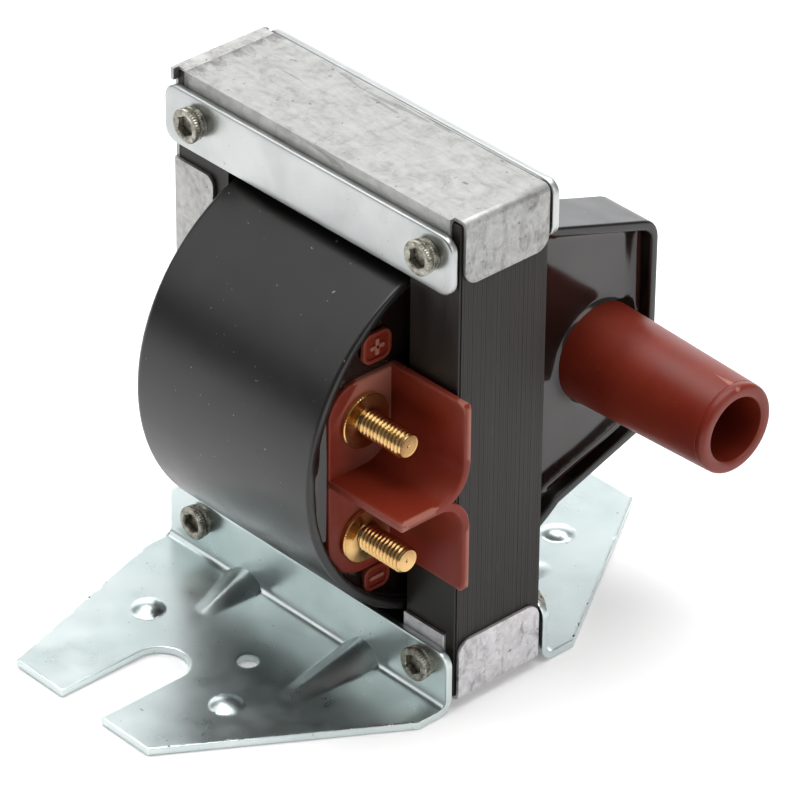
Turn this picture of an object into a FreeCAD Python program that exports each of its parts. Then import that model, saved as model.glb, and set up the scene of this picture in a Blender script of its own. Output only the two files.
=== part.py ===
import FreeCAD, Part
import math
import os

# Ignition coil with an open laminated core and a resin-filled winding case.
# Millimetres, +Z up. The origin is midway between the two mounting slots, on the underside
# of the bracket plates. X runs along the core towards its open end, -Y is the front.

V = FreeCAD.Vector

# ---------------------------------------------------------------- mounting brackets
plate_t = 1.4            # sheet thickness of both brackets
plate_reach = 58.3       # from the middle of the coil to a bracket's outer edge
tip_half = 17.7          # half the width of that edge
slot_w = 10.4            # open mounting slot
slot_end_y = 35.3        # closed end of the slot, from the middle of the coil
flange_clear = 0.08      # upright flange's top edge below the drum
flange_over = 1.1        # how far the flange stands out past the core at the left end
bend_r = 1.4             # inside radius of the bend
shoulder_left_y = 17.2   # where the slanted edges begin
shoulder_right_y = 18.4
pilot_x = 9.6            # small locating hole beside each slot
pilot_y = 28.4
pilot_r = 1.95
dimple_r = 2.7           # pressed feet stops
dimple_h = 1.1
dimple_left = (-14.2, 31.0)
dimple_right = (17.0, 39.7)
rib_slope = 0.165        # rise of a pressed corner rib for each millimetre of its length
rib_left = (-9.2, -7.1, 25.2)    # middle at the flange, middle at the tip, tip distance
rib_right = (21.7, 22.6, 31.4)
rib_half = 4.7
rib_tip_half = 2.2

# ---------------------------------------------------------------- laminated core
core_shift = 7.1         # middle of the core from the middle of the slots
core_w = 71.2
core_h = 95.0
stack_t = 20.2
spine_w = 12.9           # closed side of the E
keeper_w = 12.1          # the I bar
yoke_h = 8.8
centre_leg_h = 17.0
air_gap = 0.8
core_lift = 2.3          # core underside above the ground
core_edge_r = 0.8

# ---------------------------------------------------------------- sheet caps, clip and strips
cap_t = 0.7
cap_bend_r = 1.4         # outside radius of the cap bends
cap_setback = 2.4        # cap starts this far inside the core's left face
flap_h = 12.2
flap_half = 9.55
flap_corner_r = 2.8
ear_past_screw = 6.0     # cap side flange, from the screw axis to its free edge
relief = 1.4             # notch at each end of the flap bend
clip_t = 0.8
clip_flange_w = 9.6
clip_flange_gap = 4.9    # clip flange to the cap flanges
clip_corner_r = 2.0
clip_hook_t = 0.45       # thin lip turned over the core's top
clip_hook_gap = 0.15     # lip to the cap
clip_ear_w = 1.8         # ears at the clip's corners
clip_ear_rise = 0.4      # ears above the core
clip_ear_out = 1.1       # front ears beyond the stack, above the strip
clip_ear_clear = 0.1     # ears to the strips
strip_t = 1.6
strip_above = 4.5        # strip edges from the screw axis, the rear strip the other way up
strip_below = 6.7
strip_over = 1.3         # strip length beyond the core width
strip_corner_r = 2.8

# ---------------------------------------------------------------- core screws
screw_r = 2.0
screw_fit = 0.15         # radial clearance of every screw hole
screw_inset_left = 7.3
screw_inset_right = 5.4
screw_inset_z = 6.5
head_r = 3.2
head_h = 2.75
socket_r = 1.7
socket_depth = 1.9
nut_across = 7.0
nut_h = 1.7              # thin nuts
screw_past_nut = 0.3

# ---------------------------------------------------------------- winding case
drum_gap_low = 0.5       # drum to the yokes
drum_gap_high = 4.3
drum_y = 3.8
case_wall = 1.9
case_end_t = 2.0
case_gap = 0.6           # to the core legs, at each end
box_depth = 12.3         # the shallow chamber behind the drum, back from the rim
box_past_drum = 9.6      # chamber's back wall behind the drum
box_rise = 21.3          # chamber's back corners from the drum's axis
box_drop = 20.3
box_slope = 18.5         # degrees, the chamber narrows towards the back
box_corner_r = 4.5
sleeve_gap = 0.4         # to the centre leg, all round
sleeve_wall = 1.2
sleeve_setback = 2.1     # sleeve end behind the rim
resin_recess = 3.1       # resin surface behind the rim

# ---------------------------------------------------------------- windings
wiring_space = 6.0       # between the bobbins and the resin surface
bobbin_gap = 0.2
bobbin_wall = 1.0
cheek_t = 1.0
primary_build = 3.2
wrap_t = 0.3
coil_share = 0.3175      # where the secondary starts between the primary and the cheek edge
secondary_wall = 1.2
cheek_gap = 0.35         # secondary cheek to the drum wall
cheek_past_winding = 1.0
section_count = 6
primary_wire_r = 0.5
secondary_wire_r = 0.35
ht_wire_r = 0.6

# ---------------------------------------------------------------- terminal block and studs
base_past_stud = 7.7     # base edge in front of the studs
base_half_h = 19.45
base_t = 2.8
base_proud = 1.3         # base face above the resin
base_high_r = 6.0        # outer corners of the base
base_low_r = 8.0
sleeve_fit = 0.15        # block to the case's sleeve
wall_t = 1.6             # wall and shelf
wall_gap = 0.3           # insulating wall to the core
wall_x_past_core = 3.7
wall_low = 1.7           # wall's lower edge above the base's
wall_high = 0.5          # wall's upper edge above the base's
shelf_above_mid = 1.6    # middle of the shelf above the middle of the studs
shelf_high_r = 6.0       # wall runs into the shelf with these inner radii
shelf_low_r = 5.5
tag_w = 6.4
tag_h = 5.8
tag_gap = 2.1
tag_inset = 0.6          # tag edge from the wall's outer face
tag_proud = 0.8
drum_clear = 0.4         # base and tags to the drum wall
mark_h = 0.4
mark_w = 0.9
mark_l = 3.4
stud_from_wall = 6.4
stud_below_drum = 3.0    # middle of the two studs below the drum's axis
stud_spacing = 23.2
stud_r = 2.5
stud_length = 10.4
collar_r = 5.25
collar_t = 1.0
stud_head_r = 3.5
stud_head_t = 1.6

# ---------------------------------------------------------------- high-tension tower
tower_from_back = 11.7   # tower axis to the chamber's back wall
tower_below_drum = 1.9
tower_tip_past_resin = 34.8
tower_root_r = 9.6
tower_tip_r = 8.5
tower_bore_r = 6.15
tower_seat_r = 5.6        # narrower recess round the contact
tower_seat_clear = 0.5   # end of the recess to the contact's tip
tower_floor_t = 3.0
tower_lip_r = 1.0
tower_plate_front = 18.0 # base plate edges from the tower axis
tower_plate_back = 9.0
tower_plate_low = 10.7
tower_plate_high = 11.2
tower_plate_t = 2.1
contact_r = 3.6
contact_t = 1.2
contact_pin_r = 1.2
contact_post_r = 1.9
contact_post_l = 5.0

# ---------------------------------------------------------------- derived places
core_x0 = core_shift - core_w / 2
core_x1 = core_shift + core_w / 2
core_z0 = core_lift
core_z1 = core_lift + core_h
core_mid_z = (core_z0 + core_z1) / 2
stack_y = stack_t / 2
window_x0 = core_x0 + spine_w
window_x1 = core_x1 - keeper_w
leg_z0 = core_mid_z - centre_leg_h / 2
leg_z1 = core_mid_z + centre_leg_h / 2
side_y = stack_y + cap_t                 # outer face of every cap and clip flange
strip_y = side_y + strip_t
plate_y = side_y + plate_t
cap_z0 = core_z0 - cap_t
cap_z1 = core_z1 + cap_t
cap_x0 = core_x0 + cap_setback
cap_x1 = core_x1 + cap_t
screw_x = (core_x0 + screw_inset_left, core_x1 - screw_inset_right)
screw_z_low = core_z0 + screw_inset_z
screw_z_high = core_z1 - screw_inset_z
ear_z = screw_z_high - ear_past_screw
strip_z1 = screw_z_high + strip_above
hole_r = screw_r + screw_fit
drum_r = (core_h - 2 * yoke_h - drum_gap_low - drum_gap_high) / 2
drum_z = core_z0 + yoke_h + drum_gap_low + drum_r
drum_over_flange = drum_z - math.sqrt(drum_r ** 2 - (side_y - drum_y) ** 2)
flange_h = drum_over_flange - flange_clear
box_back_y = drum_y + drum_r + box_past_drum
box_top_z = drum_z + box_rise
box_bottom_z = drum_z - box_drop
case_x0 = window_x0 + case_gap
case_x1 = window_x1 - case_gap
box_x0 = case_x1 - box_depth
resin_x = case_x1 - resin_recess
bobbin_x0 = case_x0 + case_end_t + bobbin_gap
bobbin_x1 = resin_x - wiring_space
sleeve_y = stack_y + sleeve_gap
sleeve_z = centre_leg_h / 2 + sleeve_gap
bobbin_in_y = sleeve_y + sleeve_wall + bobbin_gap
bobbin_in_z = sleeve_z + sleeve_wall + bobbin_gap
coil_in_y = bobbin_in_y + bobbin_wall
coil_in_z = bobbin_in_z + bobbin_wall
coil_out_y = coil_in_y + primary_build
coil_out_z = coil_in_z + primary_build
cheek_reach = primary_build + wrap_t + 0.1
primary_corner_r = 0.5 + bobbin_wall + cheek_reach
primary_out_r = primary_corner_r + math.hypot(coil_in_y + cheek_reach - primary_corner_r,
                                              coil_in_z + cheek_reach - primary_corner_r)
coil_offset = math.hypot(drum_y, core_mid_z - drum_z)
secondary_cheek_r = drum_r - case_wall - coil_offset - cheek_gap
secondary_winding_r = secondary_cheek_r - cheek_past_winding
secondary_bore_r = primary_out_r + coil_share * (secondary_cheek_r - primary_out_r)
base_x1 = resin_x + base_proud
base_x0 = base_x1 - base_t
wall_y1 = -stack_y - wall_gap
wall_y0 = wall_y1 - wall_t
wall_x1 = core_x1 + wall_x_past_core
stud_y = wall_y0 - stud_from_wall
stud_z_mid = drum_z - stud_below_drum
stud_z = (stud_z_mid + stud_spacing / 2, stud_z_mid - stud_spacing / 2)
base_left_y = stud_y - base_past_stud
base_z0 = stud_z_mid - base_half_h
base_z1 = stud_z_mid + base_half_h
wall_z0 = base_z0 + wall_low
wall_z1 = base_z1 + wall_high
shelf_z0 = stud_z_mid + shelf_above_mid - wall_t / 2
shelf_z1 = shelf_z0 + wall_t
tag_right_y = wall_y0 + tag_inset
tower_y = box_back_y - tower_from_back
tower_z = drum_z - tower_below_drum
tower_x1 = resin_x + tower_tip_past_resin
tower_plate_x0 = resin_x - tower_plate_t - 0.1
tower_floor_x = resin_x + tower_floor_t


# ---------------------------------------------------------------- solid helpers
def at(axis, u, v, a):
    """Point with u, v in the plane across the axis and a along it."""
    if axis == "X":
        return V(a, u, v)
    if axis == "Y":
        return V(u, a, v)
    return V(u, v, a)


def along(axis, length):
    return at(axis, 0, 0, length)


def block(x0, x1, y0, y1, z0, z1):
    return Part.makeBox(x1 - x0, y1 - y0, z1 - z0, V(x0, y0, z0))


def rod(axis, u, v, r, a, b):
    return Part.makeCylinder(r, b - a, at(axis, u, v, a), along(axis, 1))


def taper(axis, u, v, r_a, r_b, a, b):
    return Part.makeCone(r_a, r_b, b - a, at(axis, u, v, a), along(axis, 1))


def ring(axis, u, v, r_in, r_out, a, b):
    return rod(axis, u, v, r_out, a, b).cut(rod(axis, u, v, r_in, a, b))


def outline(axis, corners, a):
    """Closed wire through corners (u, v, r); a corner with a radius is rounded."""
    count = len(corners)
    stations = []
    for i, (u, v, r) in enumerate(corners):
        here = V(u, v, 0)
        if r == 0:
            stations.append((here, None, here))
            continue
        before = corners[i - 1]
        after = corners[(i + 1) % count]
        back = (V(before[0], before[1], 0) - here).normalize()
        ahead = (V(after[0], after[1], 0) - here).normalize()
        half = back.getAngle(ahead) / 2
        reach = r / math.tan(half)
        middle = V(back + ahead).normalize()
        centre = here + middle * (r / math.sin(half))
        crown = centre - middle * r
        stations.append((here + back * reach, crown, here + ahead * reach))
    edges = []
    for i, (start, crown, end) in enumerate(stations):
        nxt = stations[(i + 1) % count][0]
        if crown is not None:
            points = [at(axis, p.x, p.y, a) for p in (start, crown, end)]
            edges.append(Part.Arc(*points).toShape())
        if (nxt - end).Length > 1e-6:
            edges.append(Part.makeLine(at(axis, end.x, end.y, a), at(axis, nxt.x, nxt.y, a)))
    return Part.Wire(edges)


def prism(axis, corners, a, b):
    return Part.Face(outline(axis, corners, a)).extrude(along(axis, b - a))


def bar(axis, u0, u1, v0, v1, r, a, b):
    """Rectangular bar along an axis, all four corners rounded."""
    corners = [(u0, v0, r), (u1, v0, r), (u1, v1, r), (u0, v1, r)]
    return prism(axis, corners, a, b)


def tube_bar(half_u, half_v, wall_u, r, a, b):
    """Rectangular tube round the centre leg, along X."""
    z = core_mid_z
    outer = bar("X", -half_u - wall_u, half_u + wall_u, z - half_v - wall_u,
                z + half_v + wall_u, r + wall_u, a, b)
    inner = bar("X", -half_u, half_u, z - half_v, z + half_v, r, a, b)
    return outer.cut(inner)


def wire(points, r):
    """Round wire through a list of points, with ball joints."""
    points = [V(*p) for p in points]
    shape = None
    for i in range(len(points) - 1):
        step = points[i + 1] - points[i]
        piece = Part.makeCylinder(r, step.Length, points[i], step)
        shape = piece if shape is None else shape.fuse(piece)
        if i > 0:
            shape = shape.fuse(Part.makeSphere(r, points[i]))
    return shape.removeSplitter()


def mirrored(shape):
    """The same piece made for the rear side."""
    return shape.mirror(V(0, 0, 0), V(0, 1, 0))


def flipped(shape):
    """The same piece turned over for the underside of the core."""
    return shape.mirror(V(0, 0, core_mid_z), V(0, 0, 1))


def screw_holes(z_list, y0, y1):
    rods = [rod("Y", x, z, hole_r, y0, y1) for x in screw_x for z in z_list]
    return Part.makeCompound(rods)


def save(name, shape):
    shape.exportStep("parts/" + name + ".step")


# ---------------------------------------------------------------- laminated core
def dressed_core_envelope():
    """Outer block of the core with the edges under the caps rounded."""
    r = core_edge_r
    across = bar("X", -stack_y, stack_y, core_z0, core_z1, r, core_x0, core_x1)
    side = [(core_x0, core_z0, 0), (core_x1, core_z0, r), (core_x1, core_z1, r),
            (core_x0, core_z1, 0)]
    return across.common(prism("Y", side, -stack_y, stack_y))


def core_e():
    body = dressed_core_envelope()
    big = stack_y + 1
    body = body.cut(block(window_x1, core_x1 + 1, -big, big, core_z0 - 1, core_z1 + 1))
    for z0, z1 in ((core_z0 + yoke_h, leg_z0), (leg_z1, core_z1 - yoke_h)):
        body = body.cut(block(window_x0, window_x1 + 1, -big, big, z0, z1))
    body = body.cut(block(window_x1 - air_gap, window_x1 + 1, -big, big, leg_z0, leg_z1))
    return body.cut(screw_holes((screw_z_low, screw_z_high), -big, big))


def core_keeper():
    big = stack_y + 1
    body = dressed_core_envelope()
    body = body.common(block(window_x1, core_x1 + 1, -big, big, core_z0 - 1, core_z1 + 1))
    return body.cut(screw_holes((screw_z_low, screw_z_high), -big, big))


def gap_spacer():
    return block(window_x1 - air_gap, window_x1, -stack_y, stack_y, leg_z0, leg_z1)


# ---------------------------------------------------------------- caps, clip and strips
def cap():
    """Sheet cap over the top yoke, with side flanges and a turned-down end flap."""
    r = cap_bend_r
    low = ear_z
    inner_r = r - cap_t
    outer = prism("X", [(-side_y, low, 0), (side_y, low, 0), (side_y, cap_z1, r),
                        (-side_y, cap_z1, r)], cap_x0, cap_x1)
    outer = outer.common(prism("Y", [(cap_x0, low, 0), (cap_x1, low, 0), (cap_x1, cap_z1, r),
                                     (cap_x0, cap_z1, 0)], -side_y, side_y))
    inner = prism("X", [(-stack_y, low - 1, 0), (stack_y, low - 1, 0),
                        (stack_y, core_z1, inner_r), (-stack_y, core_z1, inner_r)],
                  cap_x0 - 1, core_x1)
    inner = inner.common(prism("Y", [(cap_x0 - 1, low - 1, 0), (core_x1, low - 1, 0),
                                     (core_x1, core_z1, inner_r), (cap_x0 - 1, core_z1, 0)],
                               -side_y, side_y))
    body = outer.cut(inner)
    yoke_low = core_z1 - yoke_h + 0.5
    body = body.cut(block(window_x0, window_x1, -side_y - 1, side_y + 1, low - 1, yoke_low))
    for side in (-1, 1):
        y0, y1 = sorted((side * flap_half, side * (side_y + 1)))
        body = body.cut(block(cap_x1 - r - relief, cap_x1 + 1, y0, y1, low - 1, cap_z1 + 1))
    flap_low = cap_z1 - flap_h
    keep = bar("X", -flap_half, flap_half, flap_low, cap_z1 + 9, flap_corner_r,
               core_x1 - 1, cap_x1 + 1)
    trim = block(core_x1 - 0.01, cap_x1 + 1, -side_y, side_y, low - 1, core_z1 - 2)
    body = body.cut(trim.cut(keep))
    holes = screw_holes((screw_z_high,), -side_y - 1, side_y + 1)
    return body.cut(holes)


def end_clip():
    """Sheet clip round the closed side of the E, with a lip and two ears at its top."""
    x0 = core_x0 - clip_t
    high = ear_z - clip_flange_gap
    low = 2 * core_mid_z - high
    body = block(x0, core_x0, -stack_y, stack_y, core_z0, core_z1)
    flange_x1 = core_x0 + clip_flange_w
    band = prism("Y", [(x0, low, 0), (flange_x1, low, clip_corner_r),
                       (flange_x1, high, clip_corner_r), (x0, high, 0)], -side_y, side_y)
    band = band.common(bar("Z", x0, flange_x1 + 3, -side_y, side_y, 0.6, low, high))
    body = body.fuse(band.cut(block(core_x0, flange_x1 + 1, -stack_y, stack_y, low, high)))
    hook = block(core_x0, cap_x0 - clip_hook_gap, -stack_y, stack_y, core_z1, core_z1 + clip_hook_t)
    body = body.fuse(hook)
    body = body.fuse(block(x0, core_x0, -stack_y, stack_y, core_z1, core_z1 + clip_hook_t))
    ear_in = stack_y - clip_ear_w
    ear_z0 = strip_z1 + clip_ear_clear
    ear_z1 = core_z1 + clip_ear_rise
    body = body.fuse(block(x0, core_x0, -stack_y - clip_ear_out, -ear_in, ear_z0, ear_z1))
    body = body.fuse(block(x0, core_x0, ear_in, side_y - clip_ear_clear, ear_z0, ear_z1))
    return body.removeSplitter()


def strip(below, above):
    """Clamp strip with its edges so far below and above the screws."""
    x0 = core_x0 - strip_over + 0.2
    body = bar("Y", x0, core_x1 + 0.2, screw_z_high - below, screw_z_high + above,
               strip_corner_r, -strip_y, -side_y)
    return body.cut(screw_holes((screw_z_high,), -strip_y - 1, 0))


# ---------------------------------------------------------------- mounting brackets
def rib(middle_root, middle_tip, tip_y, shrink):
    """Pressed corner rib, as a loft from the flange to a blunt tip on the plate."""
    length = tip_y - plate_y
    root_h = rib_slope * length
    top = plate_t - shrink
    root_y = -plate_y + shrink + 0.3
    half = rib_half - 0.4 * shrink
    tip_half_w = rib_tip_half - 0.4 * shrink
    profiles = []
    for y, mid, wide, rise in ((root_y, middle_root, half, root_h),
                               (-tip_y + shrink, middle_tip, tip_half_w, 0.15)):
        under = top - 0.6
        points = [V(mid - wide, y, under), V(mid + wide, y, under), V(mid + wide, y, top),
                  V(mid + 0.35 * wide, y, top + 0.9 * rise), V(mid, y, top + rise),
                  V(mid - 0.35 * wide, y, top + 0.9 * rise), V(mid - wide, y, top)]
        profiles.append(Part.makePolygon(points + [points[0]]))
    return Part.makeLoft(profiles, True, True)


def dimple(x, y, shrink):
    """Cap of a ball standing on the plate."""
    ball_r = (dimple_r ** 2 + dimple_h ** 2) / (2 * dimple_h)
    top = plate_t - shrink
    ball = Part.makeSphere(ball_r, V(x, -y, top + dimple_h - ball_r))
    reach = dimple_r + 0.01
    return ball.common(block(x - reach, x + reach, -y - reach, -y + reach, top - 0.3,
                             top + dimple_h + 1))


def bracket():
    """Front bracket: upright flange, bend, and a slotted plate that narrows outwards."""
    x0 = core_x0 - clip_t - flange_over + 0.4
    x1 = core_x1 + 0.4
    t = plate_t
    profile = [(-side_y, 0, bend_r + t), (-side_y, flange_h, 0), (-plate_y, flange_h, 0),
               (-plate_y, t, bend_r), (-plate_reach, t, 0), (-plate_reach, 0, 0)]
    body = prism("X", profile, x0, x1)
    front = [(x0, -1, 0), (x1, -1, 0), (x1, flange_h, 3.0), (x0, flange_h, 3.0)]
    body = body.common(prism("Y", front, -plate_reach - 1, 0))
    plan = [(x0, 0, 0), (x1, 0, 0), (x1, -shoulder_right_y, 0.5), (tip_half, -plate_reach, 0),
            (-tip_half, -plate_reach, 0), (x0, -shoulder_left_y, 1.5)]
    body = body.common(prism("Z", plan, -1, flange_h + 1))
    for root, tip, reach in (rib_left, rib_right):
        body = body.fuse(rib(root, tip, reach, 0))
    for x, y in (dimple_left, dimple_right):
        body = body.fuse(dimple(x, y, 0))
    for root, tip, reach in (rib_left, rib_right):
        body = body.cut(rib(root, tip, reach, t))
    for x, y in (dimple_left, dimple_right):
        body = body.cut(dimple(x, y, t))
    r = slot_w / 2
    slot = block(-r, r, -plate_reach - 1, -slot_end_y - r, -1, t + 2)
    slot = slot.fuse(rod("Z", 0, -slot_end_y - r, r, -1, t + 2))
    body = body.cut(slot)
    body = body.cut(rod("Z", pilot_x, -pilot_y, pilot_r, -1, t + 2))
    body = body.cut(screw_holes((screw_z_low,), -plate_y - 1, 0))
    return body.removeSplitter()


# ---------------------------------------------------------------- core screws
def screw(x, z, face_y):
    """Cap screw from the front, its head on a face at -face_y."""
    end_y = face_y + nut_h + screw_past_nut
    body = rod("Y", x, z, screw_r, -face_y, end_y)
    body = body.fuse(rod("Y", x, z, head_r, -face_y - head_h, -face_y))
    hexagon = [(x + socket_r * math.cos(math.radians(60 * i)),
                z + socket_r * math.sin(math.radians(60 * i)), 0) for i in range(6)]
    socket = prism("Y", hexagon, -face_y - head_h - 1, -face_y - head_h + socket_depth)
    return body.cut(socket)


def nut(x, z, face_y):
    reach = nut_across / math.sqrt(3)
    hexagon = [(x + reach * math.cos(math.radians(60 * i + 30)),
                z + reach * math.sin(math.radians(60 * i + 30)), 0) for i in range(6)]
    body = prism("Y", hexagon, face_y, face_y + nut_h)
    return body.cut(rod("Y", x, z, screw_r, face_y - 1, face_y + nut_h + 1))


def screw_places():
    places = [(x, screw_z_low, plate_y) for x in screw_x]
    return places + [(x, screw_z_high, strip_y) for x in screw_x]


# ---------------------------------------------------------------- winding case
def chamber(inset, x0, x1):
    """Rear chamber outline, moved in by a wall."""
    slope = math.tan(math.radians(box_slope))
    lean = inset / math.cos(math.radians(box_slope))
    back = box_back_y - inset
    rise = (back - drum_y) * slope
    top = box_top_z + (box_back_y - back) * slope - lean
    bottom = box_bottom_z - (box_back_y - back) * slope + lean
    r = box_corner_r - inset
    corners = [(drum_y, bottom - rise, 0), (back, bottom, r), (back, top, r),
               (drum_y, top + rise, 0)]
    limit = rod("X", drum_y, drum_z, drum_r + 60, x0, x1)
    body = prism("X", corners, x0, x1).common(limit)
    keep = block(x0, x1, drum_y + 12, back, drum_z - 60, drum_z + 60)
    return body.common(keep)


def case_outer():
    drum = rod("X", drum_y, drum_z, drum_r, case_x0, case_x1)
    return drum.fuse(chamber(0, box_x0, case_x1)).removeSplitter()


def case_cavity():
    floor_x = case_x0 + case_end_t
    drum = rod("X", drum_y, drum_z, drum_r - case_wall, floor_x, case_x1 + 1)
    box = chamber(case_wall, box_x0 + case_wall, case_x1 + 1)
    return drum.fuse(box).removeSplitter()


def leg_sleeve(x0, x1, grow=0.0):
    half_y = sleeve_y + sleeve_wall + grow
    half_z = sleeve_z + sleeve_wall + grow
    return bar("X", -half_y, half_y, core_mid_z - half_z, core_mid_z + half_z, 1.5, x0, x1)


def leg_passage():
    return block(case_x0 - 1, case_x1 + 1, -sleeve_y, sleeve_y,
                 core_mid_z - sleeve_z, core_mid_z + sleeve_z)


def case():
    body = case_outer().cut(case_cavity())
    body = body.fuse(leg_sleeve(case_x0, case_x1 - sleeve_setback))
    return body.cut(leg_passage()).removeSplitter()


# ---------------------------------------------------------------- windings
def lead_holes(points):
    rods = [rod("X", y, z, r + 0.3, bobbin_x0, bobbin_x1 + 1) for y, z, r in points]
    return Part.makeCompound(rods)


primary_lead_y = -coil_out_y + 1.2
primary_lead_places = ((primary_lead_y, core_mid_z + 4.2), (primary_lead_y, core_mid_z - 6.0))

return_lead_r = (secondary_bore_r + secondary_wall + secondary_winding_r) / 2
return_lead_place = (-0.888 * return_lead_r, core_mid_z + 0.459 * return_lead_r)


def primary_bobbin():
    body = tube_bar(bobbin_in_y, bobbin_in_z, bobbin_wall, 0.5, bobbin_x0, bobbin_x1)
    cheeks = tube_bar(bobbin_in_y, bobbin_in_z, bobbin_wall + cheek_reach, 0.5,
                      bobbin_x0, bobbin_x1)
    middle = block(bobbin_x0 + cheek_t, bobbin_x1 - cheek_t, -60, 60, -20, 120)
    body = body.fuse(cheeks.cut(middle))
    holes = [(y, z, primary_wire_r) for y, z in primary_lead_places]
    cut = lead_holes(holes).common(block(bobbin_x1 - cheek_t, bobbin_x1 + 1, -60, 0, 0, 120))
    return body.cut(cut).removeSplitter()


def primary_winding():
    a = bobbin_x0 + cheek_t
    b = bobbin_x1 - cheek_t
    return tube_bar(coil_in_y, coil_in_z, primary_build, 1.5, a, b)


def primary_wrap():
    a = bobbin_x0 + cheek_t
    b = bobbin_x1 - cheek_t
    return tube_bar(coil_out_y, coil_out_z, wrap_t, 1.5 + primary_build, a, b)


def section_edges():
    """Start and end of every winding section along X."""
    pitch = (bobbin_x1 - bobbin_x0 - secondary_wall) / section_count
    return [(bobbin_x0 + secondary_wall + i * pitch, bobbin_x0 + (i + 1) * pitch)
            for i in range(section_count)]


def secondary_bobbin():
    z = core_mid_z
    inner = secondary_bore_r
    body = ring("X", 0, z, inner, secondary_cheek_r, bobbin_x0, bobbin_x1)
    for a, b in section_edges():
        body = body.cut(ring("X", 0, z, inner + secondary_wall, secondary_cheek_r + 1, a, b))
    y, z = return_lead_place
    last = section_edges()[-1]
    return body.cut(rod("X", y, z, secondary_wire_r + 0.3, last[1] - 0.01, bobbin_x1 + 1))


def secondary_winding():
    inner = secondary_bore_r + secondary_wall
    rings = [ring("X", 0, core_mid_z, inner, secondary_winding_r, a, b)
             for a, b in section_edges()]
    return Part.makeCompound(rings)


# ---------------------------------------------------------------- leads inside the resin
def stud_head_face():
    return base_x0 - stud_head_t - 0.4


def primary_lead(index):
    y, z = primary_lead_places[index]
    face = stud_head_face()
    turn = (bobbin_x1 + face) / 2
    aim_y = stud_y + 1.6
    aim_z = stud_z[index] - (1.0 if index == 0 else -1.6)
    points = [(bobbin_x1 - cheek_t, y, z), (turn, y, z), (turn, aim_y, aim_z),
              (face, aim_y, aim_z)]
    return wire(points, primary_wire_r)


def return_lead():
    y, z = return_lead_place
    face = stud_head_face()
    turn = (bobbin_x1 + face) / 2
    aim_y = stud_y - 2.0
    aim_z = stud_z[0] + 1.2
    start = section_edges()[-1][1]
    points = [(start, y, z), (turn, y, z), (turn, aim_y, aim_z), (face, aim_y, aim_z)]
    return wire(points, secondary_wire_r)


def ht_lead():
    a, b = section_edges()[0]
    x = (a + b) / 2
    start_y = secondary_winding_r
    out_y = secondary_cheek_r + 2.6
    end_x = tower_plate_x0 - 1.2
    points = [(x, start_y, core_mid_z), (x, out_y, core_mid_z), (end_x - 2.2, out_y, core_mid_z),
              (end_x - 2.2, tower_y, tower_z), (end_x, tower_y, tower_z)]
    body = wire(points, ht_wire_r)
    return body.cut(rod("X", 0, core_mid_z, secondary_winding_r, x - 5, x + 5))


# ---------------------------------------------------------------- terminal block
def mark_bar(y, z, half_y, half_z, x0):
    return block(x0, x0 + mark_h, y - half_y, y + half_y, z - half_z, z + half_z)


def terminal_walls():
    """Insulating wall beside the core leg, run into a shelf between the studs from both sides."""
    left = base_left_y
    upper = [(wall_y1, wall_z1, 0.5), (wall_y0, wall_z1, 0.5), (wall_y0, shelf_z1, shelf_high_r),
             (left, shelf_z1, 0.3), (left, shelf_z0, 0.3),
             (wall_y1, shelf_z0, shelf_high_r + wall_t)]
    lower = [(wall_y1, wall_z0, 0.5), (wall_y1, shelf_z1, shelf_low_r + wall_t),
             (left, shelf_z1, 0.3), (left, shelf_z0, 0.3), (wall_y0, shelf_z0, shelf_low_r),
             (wall_y0, wall_z0, 0.5)]
    x0 = base_x1 - 1
    body = prism("X", upper, x0, wall_x1).fuse(prism("X", lower, x0, wall_x1))
    side = [(x0, wall_z0, 0), (wall_x1, wall_z0, 1.2), (wall_x1, wall_z1, 1.2), (x0, wall_z1, 0)]
    return body.common(prism("Y", side, base_left_y - 1, wall_y1 + 1))


def terminal_block():
    base = prism("X", [(base_left_y, base_z0, base_low_r), (wall_y1, base_z0, 0),
                       (wall_y1, base_z1, 0), (base_left_y, base_z1, base_high_r)],
                 base_x0, base_x1)
    inside_drum = rod("X", drum_y, drum_z, drum_r - case_wall - drum_clear, case_x0, wall_x1)
    body = base.common(inside_drum).fuse(terminal_walls())
    tag_x1 = resin_x + tag_proud
    for z0, positive in ((base_z1 + tag_gap, True), (base_z0 - tag_gap + 1.6 - tag_h, False)):
        y0 = tag_right_y - tag_w
        tag = bar("X", y0, tag_right_y, z0, z0 + tag_h, 1.8, base_x0, tag_x1)
        body = body.fuse(tag.common(inside_drum))
        middle_y = tag_right_y - tag_w / 2
        middle_z = z0 + tag_h / 2
        near, far = sorted((middle_z, stud_z_mid))
        body = body.fuse(block(base_x0, resin_x - 0.4, middle_y - 1.5, middle_y + 1.5, near, far)
                         .cut(block(base_x0, base_x1, base_left_y, 0, base_z0 + 1, base_z1 - 1)))
        body = body.fuse(mark_bar(middle_y, middle_z, mark_l / 2, mark_w / 2, tag_x1))
        if positive:
            body = body.fuse(mark_bar(middle_y, middle_z, mark_w / 2, mark_l / 2, tag_x1))
    sleeve_end = case_x1 - sleeve_setback + sleeve_fit
    body = body.cut(leg_sleeve(base_x0 - 1, sleeve_end, sleeve_fit))
    for z in stud_z:
        body = body.cut(rod("X", stud_y, z, stud_r, base_x0 - 1, base_x1 + 1))
    return body.removeSplitter()


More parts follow.
